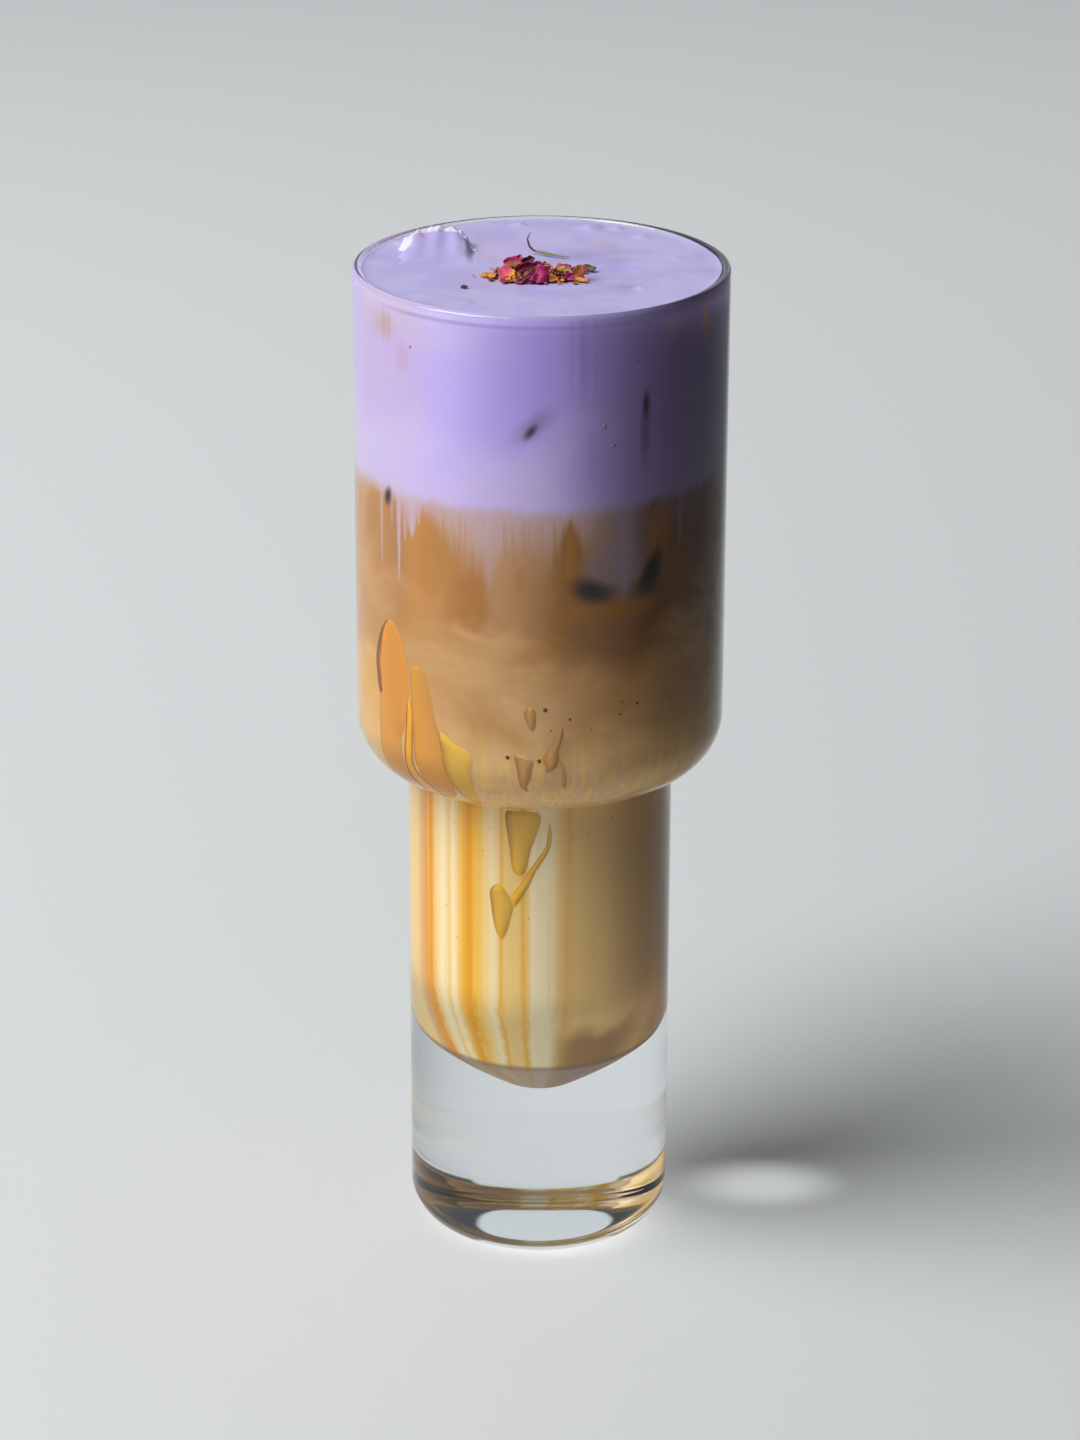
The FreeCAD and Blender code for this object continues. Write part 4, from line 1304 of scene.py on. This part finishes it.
dried_finish("pale_green", [green_bits, pale_stem], (
    tint(150, 150, 96), tint(196, 198, 130), tint(226, 228, 170),
))
dried_finish("dark_plant", [dark_leaf], (tint(40, 34, 26), tint(74, 66, 46), tint(110, 100, 66)))
dried_finish("plum_sliver", [curled_sliver], (tint(70, 22, 40), tint(110, 44, 54), tint(140, 80, 60)))
print("petals finished")

# %% [markdown]
# ## Stage, light and camera
#
# A large soft lamp stands at the left and a little in front, as a window would, and a weak one low at the
# left acts as a reflecting card. The surroundings are pale behind the glass and darker towards the camera's
# side, which gives the clear foot its dark edges. The floor looks one way where it is seen, directly or in
# the glass, and another in the light that it throws on the drink.

# %% Camera
def look(camera, aim, pitch, distance, roll):
    """Puts the camera the distance away from the aim, looking down by the pitch, and rolls it."""
    back = Vector((0, -math.cos(pitch), math.sin(pitch)))
    camera.location = aim + back * distance
    level = (-back).to_track_quat("-Z", "Y").to_matrix()
    camera.rotation_euler = (level @ Matrix.Rotation(roll, 3, "Z")).to_euler()


camera = new_object("camera", bpy.data.cameras.new("camera"))
bpy.context.scene.camera = camera
camera.data.lens = 107.5
camera.data.sensor_width = 36.0
aim = Vector((0, 0, 0.1045))
look(camera, aim, pitch=math.radians(21.73), distance=0.8264, roll=math.radians(0.176))

# %% Floor
gap = -0.15 * MM  # a little air under the foot, so that the foot mirrors at its underside as a real one does
floor_points = np.array([[-4.0, -3.0, gap], [4, -3, gap], [4, 6, gap], [-4, 6, gap]])
floor_mesh = bpy.data.meshes.new("floor")
floor_mesh.from_pydata(floor_points.tolist(), [], [(0, 1, 2, 3)])
floor = new_object("floor", floor_mesh)
floor_finish = Finish("pale_floor", [floor])
path = floor_finish.node("ShaderNodeLightPath")
seen = Value(floor_finish, path.outputs["Is Camera Ray"])
for ray in ("Is Glossy Ray", "Is Transmission Ray"):
    seen = seen.largest(Value(floor_finish, path.outputs[ray]))
# What the floor shows is kept apart from the light that it throws on the drink.
seen = seen * Value(floor_finish, path.outputs["Diffuse Depth"]).step(0.6, 0.4)
x, y, z = floor_finish.places()
reach = ((x + 80) * (x + 80) + (y + 50) * (y + 50)).math("SQRT")
bounce = floor_finish.mix(reach.step(160, 320), (0.9, 0.9, 0.89), (0.08, 0.083, 0.086))
far_off = y.step(-350, 1000)
plain = floor_finish.mix(far_off, (0.7, 0.725, 0.735), (0.84, 0.87, 0.88))
dim = Value(floor_finish, path.outputs["Is Glossy Ray"]) * x.step(120, 300)
plain = floor_finish.mix(dim * 0.6, plain, (0.02, 0.022, 0.025))
floor_finish.set(Base_Color=floor_finish.mix(seen, bounce, plain), Roughness=0.6)
glow = floor_finish.mix(far_off, (0.03, 0.031, 0.032), (0.2, 0.21, 0.212))
glow = floor_finish.mix(dim * 0.6, glow, (0.0, 0.0, 0.0))
# A painted pool of lamplight on the floor beside the foot, where the foot gathers the lamp's light.
sideways, onwards = (x - 45) / 16, (y - 9) / 10
painted_caustic = (sideways * sideways + onwards * onwards).math("SQRT").step(1.3, 0.2)  # lamplight through the foot
glow = floor_finish.mix(painted_caustic, glow, (0.36, 0.37, 0.375))
card = reach.step(190, 110) * x.step(60, -10)  # as pale paper at the left would throw light up
upward = floor_finish.mix(card, (0.0, 0.0, 0.0), (0.3, 0.29, 0.27))
floor_finish.set(Emission_Color=floor_finish.mix(seen, upward, glow), Emission_Strength=1.0)

# %% Lamps
def soft_lamp(name, bearing, height, distance, size, power, colour=(1, 1, 1)):
    """A square lamp that faces the glass. bearing 0 is the camera's side, and grows towards the right."""
    lamp = bpy.data.lights.new(name, "AREA")
    lamp.shape = "SQUARE"
    lamp.size = size
    lamp.energy = power
    lamp.color = colour
    thing = new_object(name, lamp)
    a, e = math.radians(bearing), math.radians(height)
    aim = Vector((0, 0, 0.1))
    away = Vector((math.sin(a) * math.cos(e), -math.cos(a) * math.cos(e), math.sin(e)))
    thing.location = aim + away * distance
    thing.rotation_euler = (-away).to_track_quat("-Z", "Y").to_euler()
    return thing


window = soft_lamp("window", bearing=-66, height=52, distance=1.6, size=1.0, power=28.5)
card_light = soft_lamp(
    "card", bearing=-42, height=-8, distance=0.5, size=0.3, power=0.55, colour=(1, 0.97, 0.9),
)
for lamp in (window, card_light):
    lamp.visible_transmission = False  # lamplight reaches the drink by the glass's shadow rays, so not twice
card_light.visible_camera = card_light.visible_glossy = False

# %% Surroundings
world = bpy.data.worlds.new("studio")
bpy.context.scene.world = world
world.use_nodes = True


class Surroundings(Finish):
    """The world's nodes, with the same helpers as a finish."""

    def __init__(self, world):
        self.tree = world.node_tree
        self.output = self.tree.nodes["World Output"]
        self.shader = self.tree.nodes["Background"]


around = Surroundings(world)
way = around.node("ShaderNodeTexCoord").outputs["Generated"]
split = around.node("ShaderNodeSeparateXYZ", inputs={0: way})
east, north, up = [Value(around, out) for out in split.outputs]
bearing = east.math("ARCTAN2", north) * DEGREES
behind = abs(bearing + 3.0).step(27.0, 23.0)
low_part = up.step(0.16, 0.02)
pale = around.mix(behind.largest(low_part), (0.035, 0.04, 0.047), (0.6, 0.645, 0.66))
path = around.node("ShaderNodeLightPath")
camera_ray = Value(around, path.outputs["Is Camera Ray"])
transmitted = Value(around, path.outputs["Is Transmission Ray"])
bent_ray = Value(around, path.outputs["Is Glossy Ray"]).largest(transmitted)
first_look = Value(around, path.outputs["Diffuse Depth"]).step(0.6, 0.4)
fill = around.node("ShaderNodeBackground", inputs={"Color": (0.62, 0.66, 0.68), "Strength": 0.05})
glassy = around.node("ShaderNodeBackground", inputs={"Color": pale, "Strength": 1.0})
backdrop = around.node("ShaderNodeBackground", inputs={"Color": (0.56, 0.6, 0.605), "Strength": 1.0})


def either(share, first, second):
    """The first shader where the share is 0 and the second where it is 1."""
    return around.node("ShaderNodeMixShader", inputs={0: share, 1: first.outputs[0], 2: second.outputs[0]})


glass_sees = either(bent_ray * first_look, fill, glassy)
all_see = either(camera_ray, glass_sees, backdrop)
around.feed(around.output.inputs["Surface"], all_see.outputs[0])
bpy.context.scene.view_settings.view_transform = "Standard"
